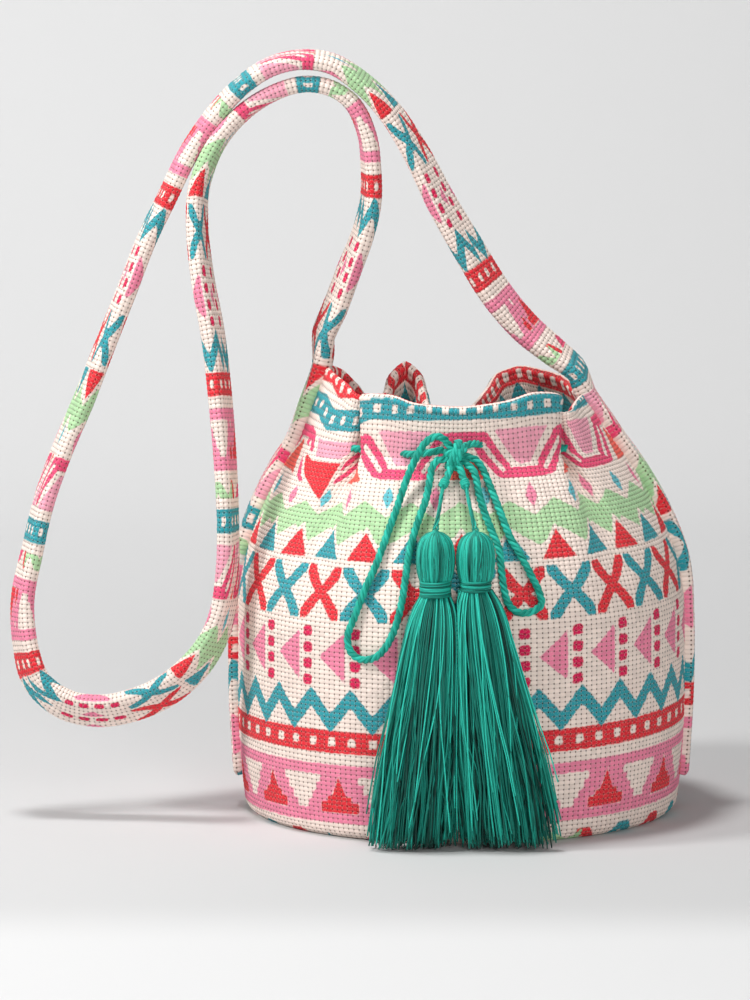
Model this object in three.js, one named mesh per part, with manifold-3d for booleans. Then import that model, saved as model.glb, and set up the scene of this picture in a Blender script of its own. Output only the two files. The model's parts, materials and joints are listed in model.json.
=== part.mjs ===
// Drawstring barrel bag of printed canvas with a shoulder strap and two yarn tassels.
// Millimetres, +Z up, -Y is the front. The origin is the centre of the underside.
import * as THREE from 'three';
import { mergeVertices } from 'three/addons/utils/BufferGeometryUtils.js';
import Module from 'manifold-3d';

const wasm = await Module();
wasm.setup();

// Bag body
const bellyRadius = 113.5;
const footRadius = 110;
const cornerRadius = 7;
const bellyLow = 60; // the wall is upright between these two heights
const bellyHigh = 100;
const neckHeight = 189; // the drawstring pulls the wall in here
const neckHalfWidth = 80;
const neckHalfDepth = 71;
const mouthHalfWidth = 72;
const mouthHalfDepth = 72;
const mouthHeight = 211;
const mouthLean = -2.5; // the gathered top leans this far sideways
const pinchCurve = 1.9; // how late the wall starts to narrow
const clothThickness = 2.2;
const seamGap = 0.35; // clearance between pieces that are sewn or laid together

// Lining, facing and base
const facingThickness = 1;
const facingSlack = 1.2; // below its seam at the rim the facing lies this loose behind the wall
const facingDepth = 36;
const liningThickness = 0.8;
const liningSlack = 0.9; // how loosely the lining hangs inside the wall
const liningGather = 4; // and inside the gathers
const boardThickness = 2.6;

// Shoulder strap
const strapWidth = 21;
const strapThickness = 8;
const sewnThickness = 4.4; // the strap is pressed flat where it is sewn to the side
const strapFoot = 16; // height of the lower end of each sewn run
const strapSetBack = 4; // the runs lie this far behind the side
const strapBridge = 1.6; // how far a run stands off the gathered part of the wall

// Drawstring
const cordDiameter = 4;
const holeClearance = 0.55;
const knotRadius = 6.8;
const threadDiameter = 1.8;

// Tassels
const headDiameter = 18.4;
const headHeight = 24;
const headTopHeight = 159;
const bindingDiameter = 15.6;
const bindingHeight = 9;
const bindingTurns = 4;
const skirtBottom = 3;
const skirtFullness = 10; // the skirt's half depth, front to back
const tasselGap = 0.7; // between a tassel and the wall behind it

const cream = 0xeee3d2;
const printed = new THREE.MeshStandardMaterial({ color: 0xe9a9a4, roughness: 0.92, metalness: 0 });
const strapCloth = new THREE.MeshStandardMaterial({ color: 0xe6b3ac, roughness: 0.92, metalness: 0 });
const plain = new THREE.MeshStandardMaterial({ color: cream, roughness: 0.9, metalness: 0 });
const card = new THREE.MeshStandardMaterial({ color: 0x8d7f6b, roughness: 0.85, metalness: 0 });
const cordYarn = new THREE.MeshStandardMaterial({ color: 0x0e9b7b, roughness: 0.8, metalness: 0 });
const tasselYarn = new THREE.MeshStandardMaterial({ color: 0x069a7c, roughness: 0.75, metalness: 0 });

// The gathered cloth seen from above, from the front centre round by the right, in shares of the
// half width and half depth. Each station gives its place at the neck and at the mouth, and how
// far the rim there stands above or below the mouth's height.
const stations = [
  { neck: [0, -1], mouth: [0, -1], rise: 2 },
  { neck: [0.3, -0.96], mouth: [0.3, -0.96], rise: 4 },
  { neck: [0.52, -0.86], mouth: [0.55, -0.85], rise: 8 },
  { neck: [0.64, -0.77], mouth: [0.71, -0.7], rise: 6 },
  { neck: [0.6, -0.56], mouth: [0.65, -0.48], rise: -6 },
  { neck: [0.73, -0.67], mouth: [0.78, -0.56], rise: -4 },
  { neck: [0.93, -0.36], mouth: [0.86, -0.3], rise: 0 },
  { neck: [1, 0], mouth: [0.9, 0], rise: 0 },
  { neck: [0.96, 0.36], mouth: [0.85, 0.35], rise: 1 },
  { neck: [0.8, 0.68], mouth: [0.72, 0.66], rise: 4 },
  { neck: [0.56, 0.9], mouth: [0.52, 0.88], rise: 5 },
  { neck: [0.37, 0.88], mouth: [0.32, 0.82], rise: 3 },
  { neck: [0.25, 0.6], mouth: [0.2, 0.5], rise: -3 },
  { neck: [0.16, 0.28], mouth: [0.12, 0.12], rise: -6 },
  { neck: [0.07, 0], mouth: [0.04, -0.18], rise: -8 },
  { neck: [-0.03, -0.08], mouth: [-0.05, -0.26], rise: -9 },
  { neck: [-0.12, 0], mouth: [-0.15, -0.18], rise: -7 },
  { neck: [-0.19, 0.22], mouth: [-0.21, 0.06], rise: 1 },
  { neck: [-0.25, 0.46], mouth: [-0.26, 0.26], rise: 9 },
  { neck: [-0.36, 0.56], mouth: [-0.36, 0.34], rise: 13 },
  { neck: [-0.47, 0.46], mouth: [-0.47, 0.24], rise: 8 },
  { neck: [-0.54, 0.28], mouth: [-0.53, 0.06], rise: -1 },
  { neck: [-0.61, 0.22], mouth: [-0.6, 0.02], rise: -3 },
  { neck: [-0.71, 0.3], mouth: [-0.69, 0.14], rise: 3 },
  { neck: [-0.85, 0.36], mouth: [-0.8, 0.26], rise: 9 },
  { neck: [-0.97, 0.22], mouth: [-0.9, 0.2], rise: 12 },
  { neck: [-1, 0], mouth: [-0.93, 0], rise: 14 },
  { neck: [-0.97, -0.24], mouth: [-0.88, -0.22], rise: 12 },
  { neck: [-0.86, -0.5], mouth: [-0.79, -0.42], rise: 9 },
  { neck: [-0.7, -0.66], mouth: [-0.68, -0.56], rise: 4 },
  { neck: [-0.55, -0.58], mouth: [-0.57, -0.54], rise: 3 },
  { neck: [-0.6, -0.79], mouth: [-0.67, -0.73], rise: 6 },
  { neck: [-0.47, -0.88], mouth: [-0.5, -0.87], rise: 7 },
  { neck: [-0.25, -0.97], mouth: [-0.25, -0.97], rise: 3 },
];
const rightSideStation = 7;
const leftSideStation = 26;

// The strap's free length, as offsets from the left side of the belly and the height of the mouth.
// turn is how far the band is rolled from edge-on towards face-on, in degrees.
const strapRoute = [
  { at: [43.5, 3, 31], turn: 16 },
  { at: [49.5, 2, 45], turn: 20 },
  { at: [56.5, 1, 64], turn: 18 },
  { at: [63.5, 0, 82.5], turn: 14 },
  { at: [67.5, 0, 100], turn: 12 },
  { at: [67.5, 0, 116.5], turn: 10 },
  { at: [65.5, 0, 133], turn: 8 },
  { at: [58.5, 0, 148.5], turn: 6 },
  { at: [47.5, 0, 156.5], turn: 5 },
  { at: [33, 0, 158.5], turn: 5 },
  { at: [17, -1, 153.5], turn: 6 },
  { at: [2, -3, 143.5], turn: 8 },
  { at: [-11, -6, 128], turn: 10 },
  { at: [-19, -10, 107.5], turn: 12 },
  { at: [-20, -14, 89], turn: 12 },
  { at: [-17.5, -20, 64.5], turn: 14 },
  { at: [-12, -26, 34.5], turn: 16 },
  { at: [-8.5, -32, 5], turn: 16 },
  { at: [-6, -37, -25], turn: 14 },
  { at: [-4.5, -41, -55.5], turn: 12 },
  { at: [-4.5, -42, -77.5], turn: 14 },
  { at: [-6.5, -43, -101], turn: 22 },
  { at: [-11.5, -43, -117], turn: 30 },
  { at: [-20.5, -42, -131], turn: 40 },
  { at: [-34.5, -39, -144], turn: 46 },
  { at: [-50.5, -37, -152], turn: 48 },
  { at: [-69, -35, -156], turn: 48 },
  { at: [-87.5, -32, -153], turn: 44 },
  { at: [-101.5, -30, -141.5], turn: 34 },
  { at: [-107, -28, -124.5], turn: 24 },
  { at: [-108.5, -26, -100.5], turn: 18 },
  { at: [-103.5, -24, -75.5], turn: 14 },
  { at: [-97.5, -22, -50.5], turn: 12 },
  { at: [-88.5, -20, -25.5], turn: 12 },
  { at: [-77.5, -17, 0], turn: 12 },
  { at: [-66.5, -14, 28], turn: 10 },
  { at: [-55.5, -12, 55.5], turn: 9 },
  { at: [-45.5, -9, 81], turn: 8 },
  { at: [-35, -7, 102.5], turn: 8 },
  { at: [-25, -5, 123], turn: 8 },
  { at: [-12, -3, 142.5], turn: 6 },
  { at: [3, -2, 158.5], turn: 4 },
  { at: [17, -1, 167.5], turn: 4 },
  { at: [32, 0, 171], turn: 4 },
  { at: [47.5, 0, 169], turn: 6 },
  { at: [62.5, 0, 159.5], turn: 10 },
  { at: [77.5, 0, 144], turn: 16 },
  { at: [90.5, 0, 123.5], turn: 22 },
  { at: [102.5, 0, 100], turn: 30 },
  { at: [115.5, 0, 77.5], turn: 36 },
  { at: [130.5, 0, 53], turn: 38 },
  { at: [145.5, 1, 35], turn: 34 },
  { at: [159.5, 1, 23], turn: 26 },
  { at: [171.5, 2, 13], turn: 14 },
];

// The drawstring from the knot in at the left eyelet, round inside the neck and out at the right one.
const drawstringRoute = [
  [-9.8, -77, 194.6],
  [-17.2, -75.6, 192.7],
  [-25.7, -71.5, 191.3],
  [-31.7, -63, 190.7],
  [-42, -54.5, 190.5],
  [-54, -46, 190.5],
  [-66, -32, 190.5],
  [-73.5, -14, 190.5],
  [-74.5, 4, 190.5],
  [-68, 16.5, 190.5],
  [-56, 19.5, 190.5],
  [-42, 20.5, 190.5],
  [-28, 20.5, 190.5],
  [-12, 21, 190.5],
  [2, 23, 190.5],
  [16, 29, 190.5],
  [30, 40, 190.5],
  [45, 47, 190.5],
  [58, 41, 190.5],
  [67, 26, 190.5],
  [70.5, 6, 190.5],
  [69, -14, 190.5],
  [62, -32, 190.5],
  [50, -46.5, 190.8],
  [37, -55.5, 191.4],
  [24.8, -61, 192.5],
  [15.3, -63.5, 194.2],
  [8.8, -69.5, 196],
  [4.4, -75.4, 197.2],
  [1, -77.4, 196.4],
];

// The bow's loops, each out from the knot and back to it.
const leftLoopRoute = [
  [-7.5, -82.1, 198],
  [-9.2, -82.6, 200.3],
  [-12.9, -83, 202],
  [-18, -81.6, 199.4],
  [-22.6, -80.6, 192.5],
  [-27.7, -83.6, 181.7],
  [-32.8, -88, 167.4],
  [-37.9, -93.2, 154.1],
  [-43, -98.4, 140.8],
  [-49, -101, 127.4],
  [-54, -101.8, 114.2],
  [-57.5, -101.8, 104],
  [-56, -103, 96.8],
  [-51, -105.5, 93.2],
  [-44, -108.5, 94.6],
  [-38.9, -110.3, 99.7],
  [-34.3, -111, 108.9],
  [-30.7, -109.5, 122.2],
  [-28.6, -105.4, 135.5],
  [-26.6, -100.8, 147.9],
  [-22.5, -95, 161.2],
  [-18.4, -90, 172],
  [-16.8, -87.2, 179.7],
  [-15.4, -84.9, 186.8],
  [-13, -83.4, 189.9],
  [-10.5, -82.8, 190.4],
];
const rightLoopRoute = [
  [3.9, -80.6, 190.8],
  [6.2, -80.8, 189.9],
  [9.5, -82, 185.8],
  [12.8, -85.6, 178.7],
  [16.5, -90, 170],
  [20, -95.4, 161.2],
  [23.6, -100, 153],
  [28.6, -103, 144.8],
  [33.6, -105.4, 135.5],
  [37.6, -106.8, 127.3],
  [38.6, -107.6, 121.2],
  [33.1, -109.6, 117.7],
  [26.6, -111.2, 118.1],
  [22.1, -111.4, 122.6],
  [20.1, -110, 129.3],
  [18.8, -107, 138.6],
  [17.7, -103, 147.9],
  [13.9, -98, 157.1],
  [9.8, -93, 167.4],
  [7.5, -89.8, 175.6],
  [6.5, -87.4, 181.2],
  [4.8, -85, 185.4],
  [2.2, -83.6, 187.7],
];

// Each tassel: its cord end below the knot, its head's place across the front, and its skirt.
const knotCentre = new THREE.Vector3(-3.5, -81, 192);
const tassels = [
  { side: 'left', head: -14, tail: [-10.5, -91.5, 177.4], bindingLow: 0, skirtAt: -25, skirtHalf: 20.8 },
  { side: 'right', head: 5.9, tail: [1.5, -93, 177.5], bindingLow: 3, skirtAt: 20.6, skirtHalf: 22.4 },
];

const mix = THREE.MathUtils.lerp;
const turnFull = Math.PI * 2;

const neckCurve = stationCurve((station) => [station.neck[0], station.neck[1], 0]);
const mouthCurve = stationCurve((station) => [station.mouth[0], station.mouth[1], station.rise]);
const stationAngles = bellyAngles();

function stationCurve(pick) {
  const points = stations.map((station) => new THREE.Vector3(...pick(station)));
  return new THREE.CatmullRomCurve3(points, true, 'centripetal');
}

// How far round the belly the cloth of each station stands. The sides keep their quarter turns.
function bellyAngles() {
  const place = ({ neck }) => new THREE.Vector2(neck[0] * neckHalfWidth, neck[1] * neckHalfDepth);
  const reach = [0];
  for (let i = 0; i < stations.length; i += 1) {
    const next = stations[(i + 1) % stations.length];
    reach.push(reach[i] + place(stations[i]).distanceTo(place(next)));
  }
  const pins = [0, rightSideStation, leftSideStation, stations.length];
  const quarters = [0, turnFull / 4, (turnFull * 3) / 4, turnFull];
  return reach.map((length, i) => {
    const part = i <= pins[1] ? 0 : i <= pins[2] ? 1 : 2;
    const from = reach[pins[part]];
    const share = (length - from) / (reach[pins[part + 1]] - from);
    return mix(quarters[part], quarters[part + 1], share);
  });
}

function angleAt(t) {
  const place = t * stations.length;
  const i = Math.min(Math.floor(place), stations.length - 1);
  return mix(stationAngles[i], stationAngles[i + 1], place - i);
}

function uprightRadius(z) {
  if (z < cornerRadius) {
    return footRadius - cornerRadius + Math.sqrt(Math.max(0, cornerRadius ** 2 - (cornerRadius - z) ** 2));
  }
  if (z < bellyLow) {
    return bellyRadius - (bellyRadius - footRadius) * ((bellyLow - z) / (bellyLow - cornerRadius)) ** 2;
  }
  return bellyRadius;
}

// The wall's outer face: t runs once round the cloth, and height is measured up an even wall.
function wallPoint(t, height) {
  const angle = angleAt(t);
  const radius = uprightRadius(height);
  const round = new THREE.Vector3(radius * Math.sin(angle), -radius * Math.cos(angle), height);
  if (height <= bellyHigh) return round;
  const pinch = Math.min(1, (height - bellyHigh) / (neckHeight - bellyHigh));
  const neck = neckCurve.getPoint(t);
  neck.set(mouthLean + neck.x * neckHalfWidth, neck.y * neckHalfDepth, height);
  const low = round.lerp(neck, pinch ** pinchCurve);
  low.z = height;
  if (height <= neckHeight) return low;
  const above = (height - neckHeight) / (mouthHeight - neckHeight);
  const mouth = mouthCurve.getPoint(t);
  mouth.set(mouthLean + mouth.x * mouthHalfWidth, mouth.y * mouthHalfDepth, mouthHeight + mouth.z);
  return low.setZ(neckHeight).lerp(mouth, above);
}

// A point set inward from the outer face, square to it.
function insetPoint(t, height, depth) {
  const round = 0.004;
  const up = 1;
  const top = Math.min(height + up, mouthHeight);
  const low = Math.max(height - up, 0);
  const along = wallPoint((t + round) % 1, height).sub(wallPoint((t - round + 1) % 1, height));
  const rise = wallPoint(t, top).sub(wallPoint(t, low));
  const out = along.cross(rise).normalize();
  return wallPoint(t, height).addScaledVector(out, -depth);
}

function turnOut(geometry) {
  const place = geometry.getAttribute('position');
  const index = geometry.getIndex().array;
  const a = new THREE.Vector3();
  const b = new THREE.Vector3();
  const c = new THREE.Vector3();
  let volume = 0;
  for (let i = 0; i < index.length; i += 3) {
    a.fromBufferAttribute(place, index[i]);
    b.fromBufferAttribute(place, index[i + 1]);
    c.fromBufferAttribute(place, index[i + 2]);
    volume += a.dot(b.cross(c));
  }
  if (volume < 0) {
    for (let i = 0; i < index.length; i += 3) [index[i], index[i + 1]] = [index[i + 1], index[i]];
  }
  return geometry;
}

// Skins a list of rings. A looped list closes on itself, and any other gets a fan at each end.
function skin(rings, looped) {
  const count = rings[0].length;
  const points = rings.flat();
  const faces = [];
  const spans = looped ? rings.length : rings.length - 1;
  for (let r = 0; r < spans; r += 1) {
    const here = r * count;
    const next = ((r + 1) % rings.length) * count;
    for (let i = 0; i < count; i += 1) {
      const j = (i + 1) % count;
      faces.push(here + i, here + j, next + j, here + i, next + j, next + i);
    }
  }
  if (!looped) {
    [0, rings.length - 1].forEach((r) => {
      const centre = rings[r].reduce((sum, p) => sum.add(p), new THREE.Vector3()).divideScalar(count);
      points.push(centre);
      for (let i = 0; i < count; i += 1) {
        const edge = [r * count + i, r * count + ((i + 1) % count)];
        faces.push(points.length - 1, ...(r === 0 ? edge.reverse() : edge));
      }
    });
  }
  const geometry = new THREE.BufferGeometry().setFromPoints(points);
  geometry.setIndex(faces);
  return turnOut(geometry);
}

function mergedPlaces(geometry) {
  const bare = geometry.clone();
  bare.deleteAttribute('normal');
  bare.deleteAttribute('uv');
  return mergeVertices(bare, 1e-4);
}

function toSolid(geometry) {
  const merged = turnOut(mergedPlaces(geometry));
  return new wasm.Manifold(new wasm.Mesh({
    numProp: 3,
    vertProperties: new Float32Array(merged.getAttribute('position').array),
    triVerts: new Uint32Array(merged.getIndex().array),
  }));
}

function fromSolid(solid) {
  const mesh = solid.getMesh();
  const geometry = new THREE.BufferGeometry();
  geometry.setAttribute('position', new THREE.BufferAttribute(new Float32Array(mesh.vertProperties), 3));
  geometry.setIndex(new THREE.BufferAttribute(new Uint32Array(mesh.triVerts), 1));
  return geometry;
}

// The facing is sewn to the wall at the rim and hangs a little loose below.
function facingBand(low) {
  const heights = [low, ...bodyHeights().filter((height) => height > low + facingThickness)];
  const ring = (height, depth) => Array.from({ length: clothColumns }, (_, i) => {
    const slack = height === mouthHeight ? 0 : facingSlack;
    const point = insetPoint(i / clothColumns, height, clothThickness + seamGap + slack + depth);
    if (height === mouthHeight) point.z -= seamGap;
    return point;
  });
  const up = heights.map((height) => ring(height, 0));
  const down = [...heights].reverse().map((height) => ring(height, facingThickness));
  return skin([...up, ...down], true);
}

function tube(points, diameter, steps, sides = 8) {
  const path = new THREE.CatmullRomCurve3(points.map((p) => new THREE.Vector3(...p)), false, 'centripetal');
  const section = new THREE.Shape();
  for (let i = 0; i < sides; i += 1) {
    const angle = (turnFull * i) / sides;
    const [x, y] = [(Math.cos(angle) * diameter) / 2, (Math.sin(angle) * diameter) / 2];
    if (i === 0) section.moveTo(x, y);
    else section.lineTo(x, y);
  }
  section.closePath();
  return new THREE.ExtrudeGeometry(section, { steps, extrudePath: path, bevelEnabled: false });
}

const bag = new THREE.Group();
bag.name = 'barrel_bag';

function add(name, geometry, material) {
  const mesh = new THREE.Mesh(mergedPlaces(geometry), material);
  mesh.name = name;
  bag.add(mesh);
  return mesh;
}

const clothColumns = stations.length * 3;
const pinchRows = [0.3, 0.52, 0.7, 0.86];

function bodyHeights() {
  const corner = [0, cornerRadius * 0.3, cornerRadius];
  const wall = [bellyLow, bellyHigh];
  const pinch = pinchRows.map((share) => mix(bellyHigh, neckHeight, share));
  const rim = [neckHeight, mix(neckHeight, mouthHeight, 0.5), mouthHeight];
  return [...corner, ...wall, ...pinch, ...rim];
}

// The cloth body, with the eyelets that the drawstring passes through.
function clothBody() {
  const heights = bodyHeights();
  const count = clothColumns;
  const innerFoot = (height) => Array.from({ length: count }, (_, i) => {
    const angle = angleAt(i / count);
    const low = cornerRadius - clothThickness;
    const drop = cornerRadius - Math.max(height, clothThickness);
    const radius = footRadius - cornerRadius + Math.sqrt(Math.max(0, low ** 2 - drop ** 2));
    return new THREE.Vector3(radius * Math.sin(angle), -radius * Math.cos(angle), Math.max(height, clothThickness));
  });
  const ring = (height, depth) => Array.from({ length: count }, (_, i) => insetPoint(i / count, height, depth));
  const outerFoot = (height) => Array.from({ length: count }, (_, i) => wallPoint(i / count, height));
  const foot = heights.filter((height) => height < cornerRadius);
  const wall = heights.filter((height) => height >= cornerRadius);
  const rings = [
    ...foot.map(outerFoot),
    ...wall.map((height) => ring(height, 0)),
    ...[...wall].reverse().map((height) => ring(height, clothThickness)),
    ...[...foot].reverse().map(innerFoot),
  ];
  return skin(rings, true);
}

const eyeletCutter = toSolid(tube(drawstringRoute, cordDiameter + holeClearance * 2, 56, 6));

function withEyelets(geometry) {
  return fromSolid(toSolid(geometry).subtract(eyeletCutter));
}

function disc(radius, low, thickness) {
  const geometry = new THREE.CylinderGeometry(radius, radius, thickness, 60);
  return geometry.rotateX(Math.PI / 2).translate(0, 0, low + thickness / 2);
}

function makeCloth() {
  const hem = footRadius - cornerRadius;
  add('bag_body', withEyelets(clothBody()), printed);
  add('base_panel', disc(hem - seamGap, 0, clothThickness), printed);
  const boardLow = clothThickness + seamGap;
  add('base_board', disc(hem, boardLow, boardThickness), card);
  const liningLow = boardLow + boardThickness + seamGap;
  add('lining_base', disc(hem + liningSlack, liningLow, liningThickness), plain);
  const facingLow = mouthHeight - facingDepth;
  add('rim_facing', withEyelets(facingBand(facingLow)), printed);
  add('lining_wall', liningWall(liningLow + liningThickness + seamGap, facingLow - seamGap * 2), plain);
}

// The lining hangs from the facing's lower edge down to the base.
function liningWall(low, high) {
  const foot = footRadius - cornerRadius + liningSlack;
  const rows = [bellyLow, bellyHigh, mix(bellyHigh, high, 0.36), mix(bellyHigh, high, 0.7), high];
  const count = clothColumns / 2;
  const outer = (height) => clothThickness + seamGap + (height > bellyHigh ? liningGather : liningSlack);
  const footRing = (inset) => Array.from({ length: count }, (_, i) => {
    const angle = angleAt(i / count);
    return new THREE.Vector3((foot - inset) * Math.sin(angle), -(foot - inset) * Math.cos(angle), low);
  });
  const ring = (height, depth) => Array.from({ length: count }, (_, i) => insetPoint(i / count, height, depth));
  const rings = [
    footRing(0),
    ...rows.map((height) => ring(height, outer(height))),
    ...[...rows].reverse().map((height) => ring(height, outer(height) + liningThickness)),
    footRing(liningThickness),
  ];
  return skin(rings, true);
}

// How far out the wall reaches under the width of a sewn run.
function sideReach(sideT, height) {
  let reach = 0;
  const span = 0.12;
  const count = 48;
  for (let i = -count; i <= count; i += 1) {
    const point = wallPoint((1 + sideT + (span * i) / count) % 1, height);
    if (Math.abs(point.y - strapSetBack) < strapWidth / 2 + 1) reach = Math.max(reach, Math.abs(point.x));
  }
  return reach;
}

// Height up the even wall and thickness of each step of a sewn run, from its foot to the rim.
function sewnRun(sideStation, sign) {
  const t = sideStation / stations.length;
  const heights = [strapFoot, ...bodyHeights().filter((height) => height > strapFoot + sewnThickness)];
  return heights.map((height) => {
    const stand = seamGap + sewnThickness / 2 + (height > bellyHigh ? strapBridge : 0);
    return {
      at: new THREE.Vector3(sign * (sideReach(t, height) + stand), strapSetBack, wallPoint(t, height).z),
      turn: 0,
      thickness: sewnThickness,
    };
  });
}

function strapStations() {
  const left = sewnRun(leftSideStation, -1);
  const right = sewnRun(rightSideStation, 1).reverse();
  const free = strapRoute.map(({ at, turn }) => ({
    at: new THREE.Vector3(at[0] - bellyRadius, at[1], at[2] + mouthHeight),
    turn,
    thickness: strapThickness,
  }));
  return [...left, ...free, ...right];
}

// One folded band: up the left side, round its free length and down the right side.
function shoulderStrap() {
  const along = strapStations();
  const path = new THREE.CatmullRomCurve3(along.map(({ at }) => at), false, 'centripetal');
  const depthWay = new THREE.Vector3(0, 1, 0);
  const last = along.length - 1;
  const steps = last * 1.6;
  const rings = [];
  for (let s = 0; s <= steps; s += 1) {
    const share = s / steps;
    const i = Math.min(Math.floor(share * last), last - 1);
    const part = share * last - i;
    const turn = THREE.MathUtils.degToRad(mix(along[i].turn, along[i + 1].turn, part));
    const halfThick = mix(along[i].thickness, along[i + 1].thickness, part) / 2;
    const centre = path.getPoint(share);
    const way = path.getTangent(share);
    const edgeOn = depthWay.clone().addScaledVector(way, -depthWay.dot(way)).normalize();
    const faceOn = new THREE.Vector3().crossVectors(way, edgeOn);
    const across = edgeOn.clone().multiplyScalar(Math.cos(turn)).addScaledVector(faceOn, Math.sin(turn));
    const through = new THREE.Vector3().crossVectors(across, way);
    rings.push(bandSection(strapWidth / 2, halfThick).map(([w, h]) => centre.clone()
      .addScaledVector(across, w).addScaledVector(through, h)));
  }
  return skin(rings, false);
}

function bandSection(halfWidth, halfThick) {
  const shoulder = halfWidth - halfThick * 0.7;
  const edge = halfThick * 0.45;
  return [
    [halfWidth, -edge], [halfWidth, edge], [shoulder, halfThick], [-shoulder, halfThick],
    [-halfWidth, edge], [-halfWidth, -edge], [-shoulder, -halfThick], [shoulder, -halfThick],
  ];
}

// How far forward the front of the wall stands at a place across the bag and a height.
function frontDepth(x, height) {
  let depth = 0;
  const reach = 0.16;
  const points = [];
  for (let i = -24; i <= 24; i += 1) points.push(wallPoint((1 + (reach * i) / 24) % 1, height));
  for (let i = 1; i < points.length; i += 1) {
    const [from, to] = [points[i - 1], points[i]];
    if ((from.x - x) * (to.x - x) <= 0 && from.x !== to.x) {
      depth = Math.min(depth, mix(from.y, to.y, (x - from.x) / (to.x - from.x)));
    }
  }
  return depth;
}

function knot() {
  const turns = 3;
  const waves = (angle, rise) => 1 + 0.07 * Math.sin(angle * turns + rise * 4);
  const rings = [];
  for (let r = 1; r < 8; r += 1) {
    const rise = (Math.PI * r) / 8;
    rings.push(Array.from({ length: 16 }, (_, i) => {
      const angle = (turnFull * i) / 16;
      const radius = knotRadius * 0.93 * Math.sin(rise) * waves(angle, rise);
      return new THREE.Vector3(
        radius * Math.cos(angle),
        radius * Math.sin(angle),
        -knotRadius * 0.93 * Math.cos(rise),
      ).add(knotCentre);
    }));
  }
  return skin(rings, false);
}

function makeCords() {
  add('drawstring_neck', tube(drawstringRoute, cordDiameter, 56), cordYarn);
  add('drawstring_knot', knot(), cordYarn);
  add('bow_loop_left', tube(leftLoopRoute, cordDiameter, 34), cordYarn);
  add('bow_loop_right', tube(rightLoopRoute, cordDiameter, 28), cordYarn);
}

// Rings of a turned form: each row gives a height, a half width, a half depth and a centre.
function turned(rows, sides, ripple = () => 1) {
  return skin(rows.map((row) => Array.from({ length: sides }, (_, i) => {
    const angle = (turnFull * i) / sides;
    const swell = ripple(i);
    return new THREE.Vector3(
      row.x + row.halfWidth * swell * Math.cos(angle),
      row.y + row.halfDepth * swell * Math.sin(angle),
      row.z,
    );
  })), false);
}

function tasselHead(x, y) {
  const rows = [];
  const low = headTopHeight - headHeight;
  for (let r = 0; r <= 8; r += 1) {
    const share = r / 8;
    const radius = (headDiameter / 2) * Math.max(0.3, Math.sin(Math.PI * (0.2 + share * 0.74)));
    rows.push({ x, y, z: low + headHeight * share, halfWidth: radius, halfDepth: radius });
  }
  return turned(rows, 20, (i) => (i % 2 ? 1 : 0.97));
}

function tasselBinding(x, y, low) {
  const rows = [];
  const top = headTopHeight - headHeight - seamGap;
  for (let r = 0; r <= bindingTurns * 2; r += 1) {
    const radius = (bindingDiameter / 2) * (r % 2 ? 1 : 0.93);
    const z = mix(low, top, r / (bindingTurns * 2));
    rows.push({ x, y, z, halfWidth: radius, halfDepth: radius });
  }
  return turned(rows, 16);
}

// The skirt fans out sideways and lies against the front of the bag.
function tasselSkirt(tassel, y, top) {
  const spread = [[0, 0.32], [0.1, 0.44], [0.25, 0.58], [0.45, 0.72], [0.68, 0.85], [0.86, 0.95], [1, 1]];
  const topHalf = (bindingDiameter / 2) * 0.93;
  const rows = spread.map(([down, wide]) => {
    const z = mix(top, skirtBottom, down);
    const x = mix(tassel.head, tassel.skirtAt, down);
    const halfWidth = Math.max(topHalf, tassel.skirtHalf * wide);
    const halfDepth = mix(topHalf, skirtFullness, Math.min(1, down * 2));
    const behind = Math.min(frontDepth(x, z), frontDepth(0, z)) - tasselGap - halfDepth;
    return { x, y: Math.min(y, behind), z, halfWidth, halfDepth };
  });
  return turned(rows.reverse(), 28, (i) => (i % 2 ? 1 : 0.92));
}

function makeTassel(tassel) {
  const headMiddle = headTopHeight - headHeight / 2;
  const y = frontDepth(tassel.head, headMiddle - headHeight / 2) - headDiameter / 2 - tasselGap;
  const tail = new THREE.Vector3(...tassel.tail);
  const down = tail.clone().sub(knotCentre).normalize();
  const start = knotCentre.clone().addScaledVector(down, knotRadius + seamGap);
  const bend = start.clone().lerp(tail, 0.5).add(new THREE.Vector3(0, -0.6, 0));
  const name = (piece) => `${piece}_${tassel.side}`;
  const route = [start, bend, tail].map((p) => p.toArray());
  add(name('cord_tail'), tube(route, cordDiameter, 4), cordYarn);
  const hang = tail.clone().addScaledVector(down, seamGap);
  const headTop = new THREE.Vector3(tassel.head, y, headTopHeight + seamGap + threadDiameter / 2);
  const sag = hang.clone().lerp(headTop, 0.5).add(new THREE.Vector3(0, 1, -1));
  const thread = [hang, sag, headTop].map((p) => p.toArray());
  add(name('tassel_thread'), tube(thread, threadDiameter, 5), tasselYarn);
  add(name('tassel_head'), tasselHead(tassel.head, y), tasselYarn);
  const bindingLow = headTopHeight - headHeight - seamGap - bindingHeight + tassel.bindingLow;
  const bindingDepth = frontDepth(tassel.head, bindingLow) - bindingDiameter / 2 - tasselGap;
  add(name('tassel_binding'), tasselBinding(tassel.head, Math.min(y, bindingDepth), bindingLow), tasselYarn);
  add(name('tassel_skirt'), tasselSkirt(tassel, y, bindingLow - seamGap), tasselYarn);
}

makeCloth();
add('shoulder_strap', shoulderStrap(), strapCloth);
makeCords();
tassels.forEach(makeTassel);

export default bag;
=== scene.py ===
# Drawstring barrel bag of printed canvas, with a folded strap, a twisted cord and two yarn tassels.
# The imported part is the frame, and the cloth, cord and yarn are built round it here.
import json
import math
import random

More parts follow.
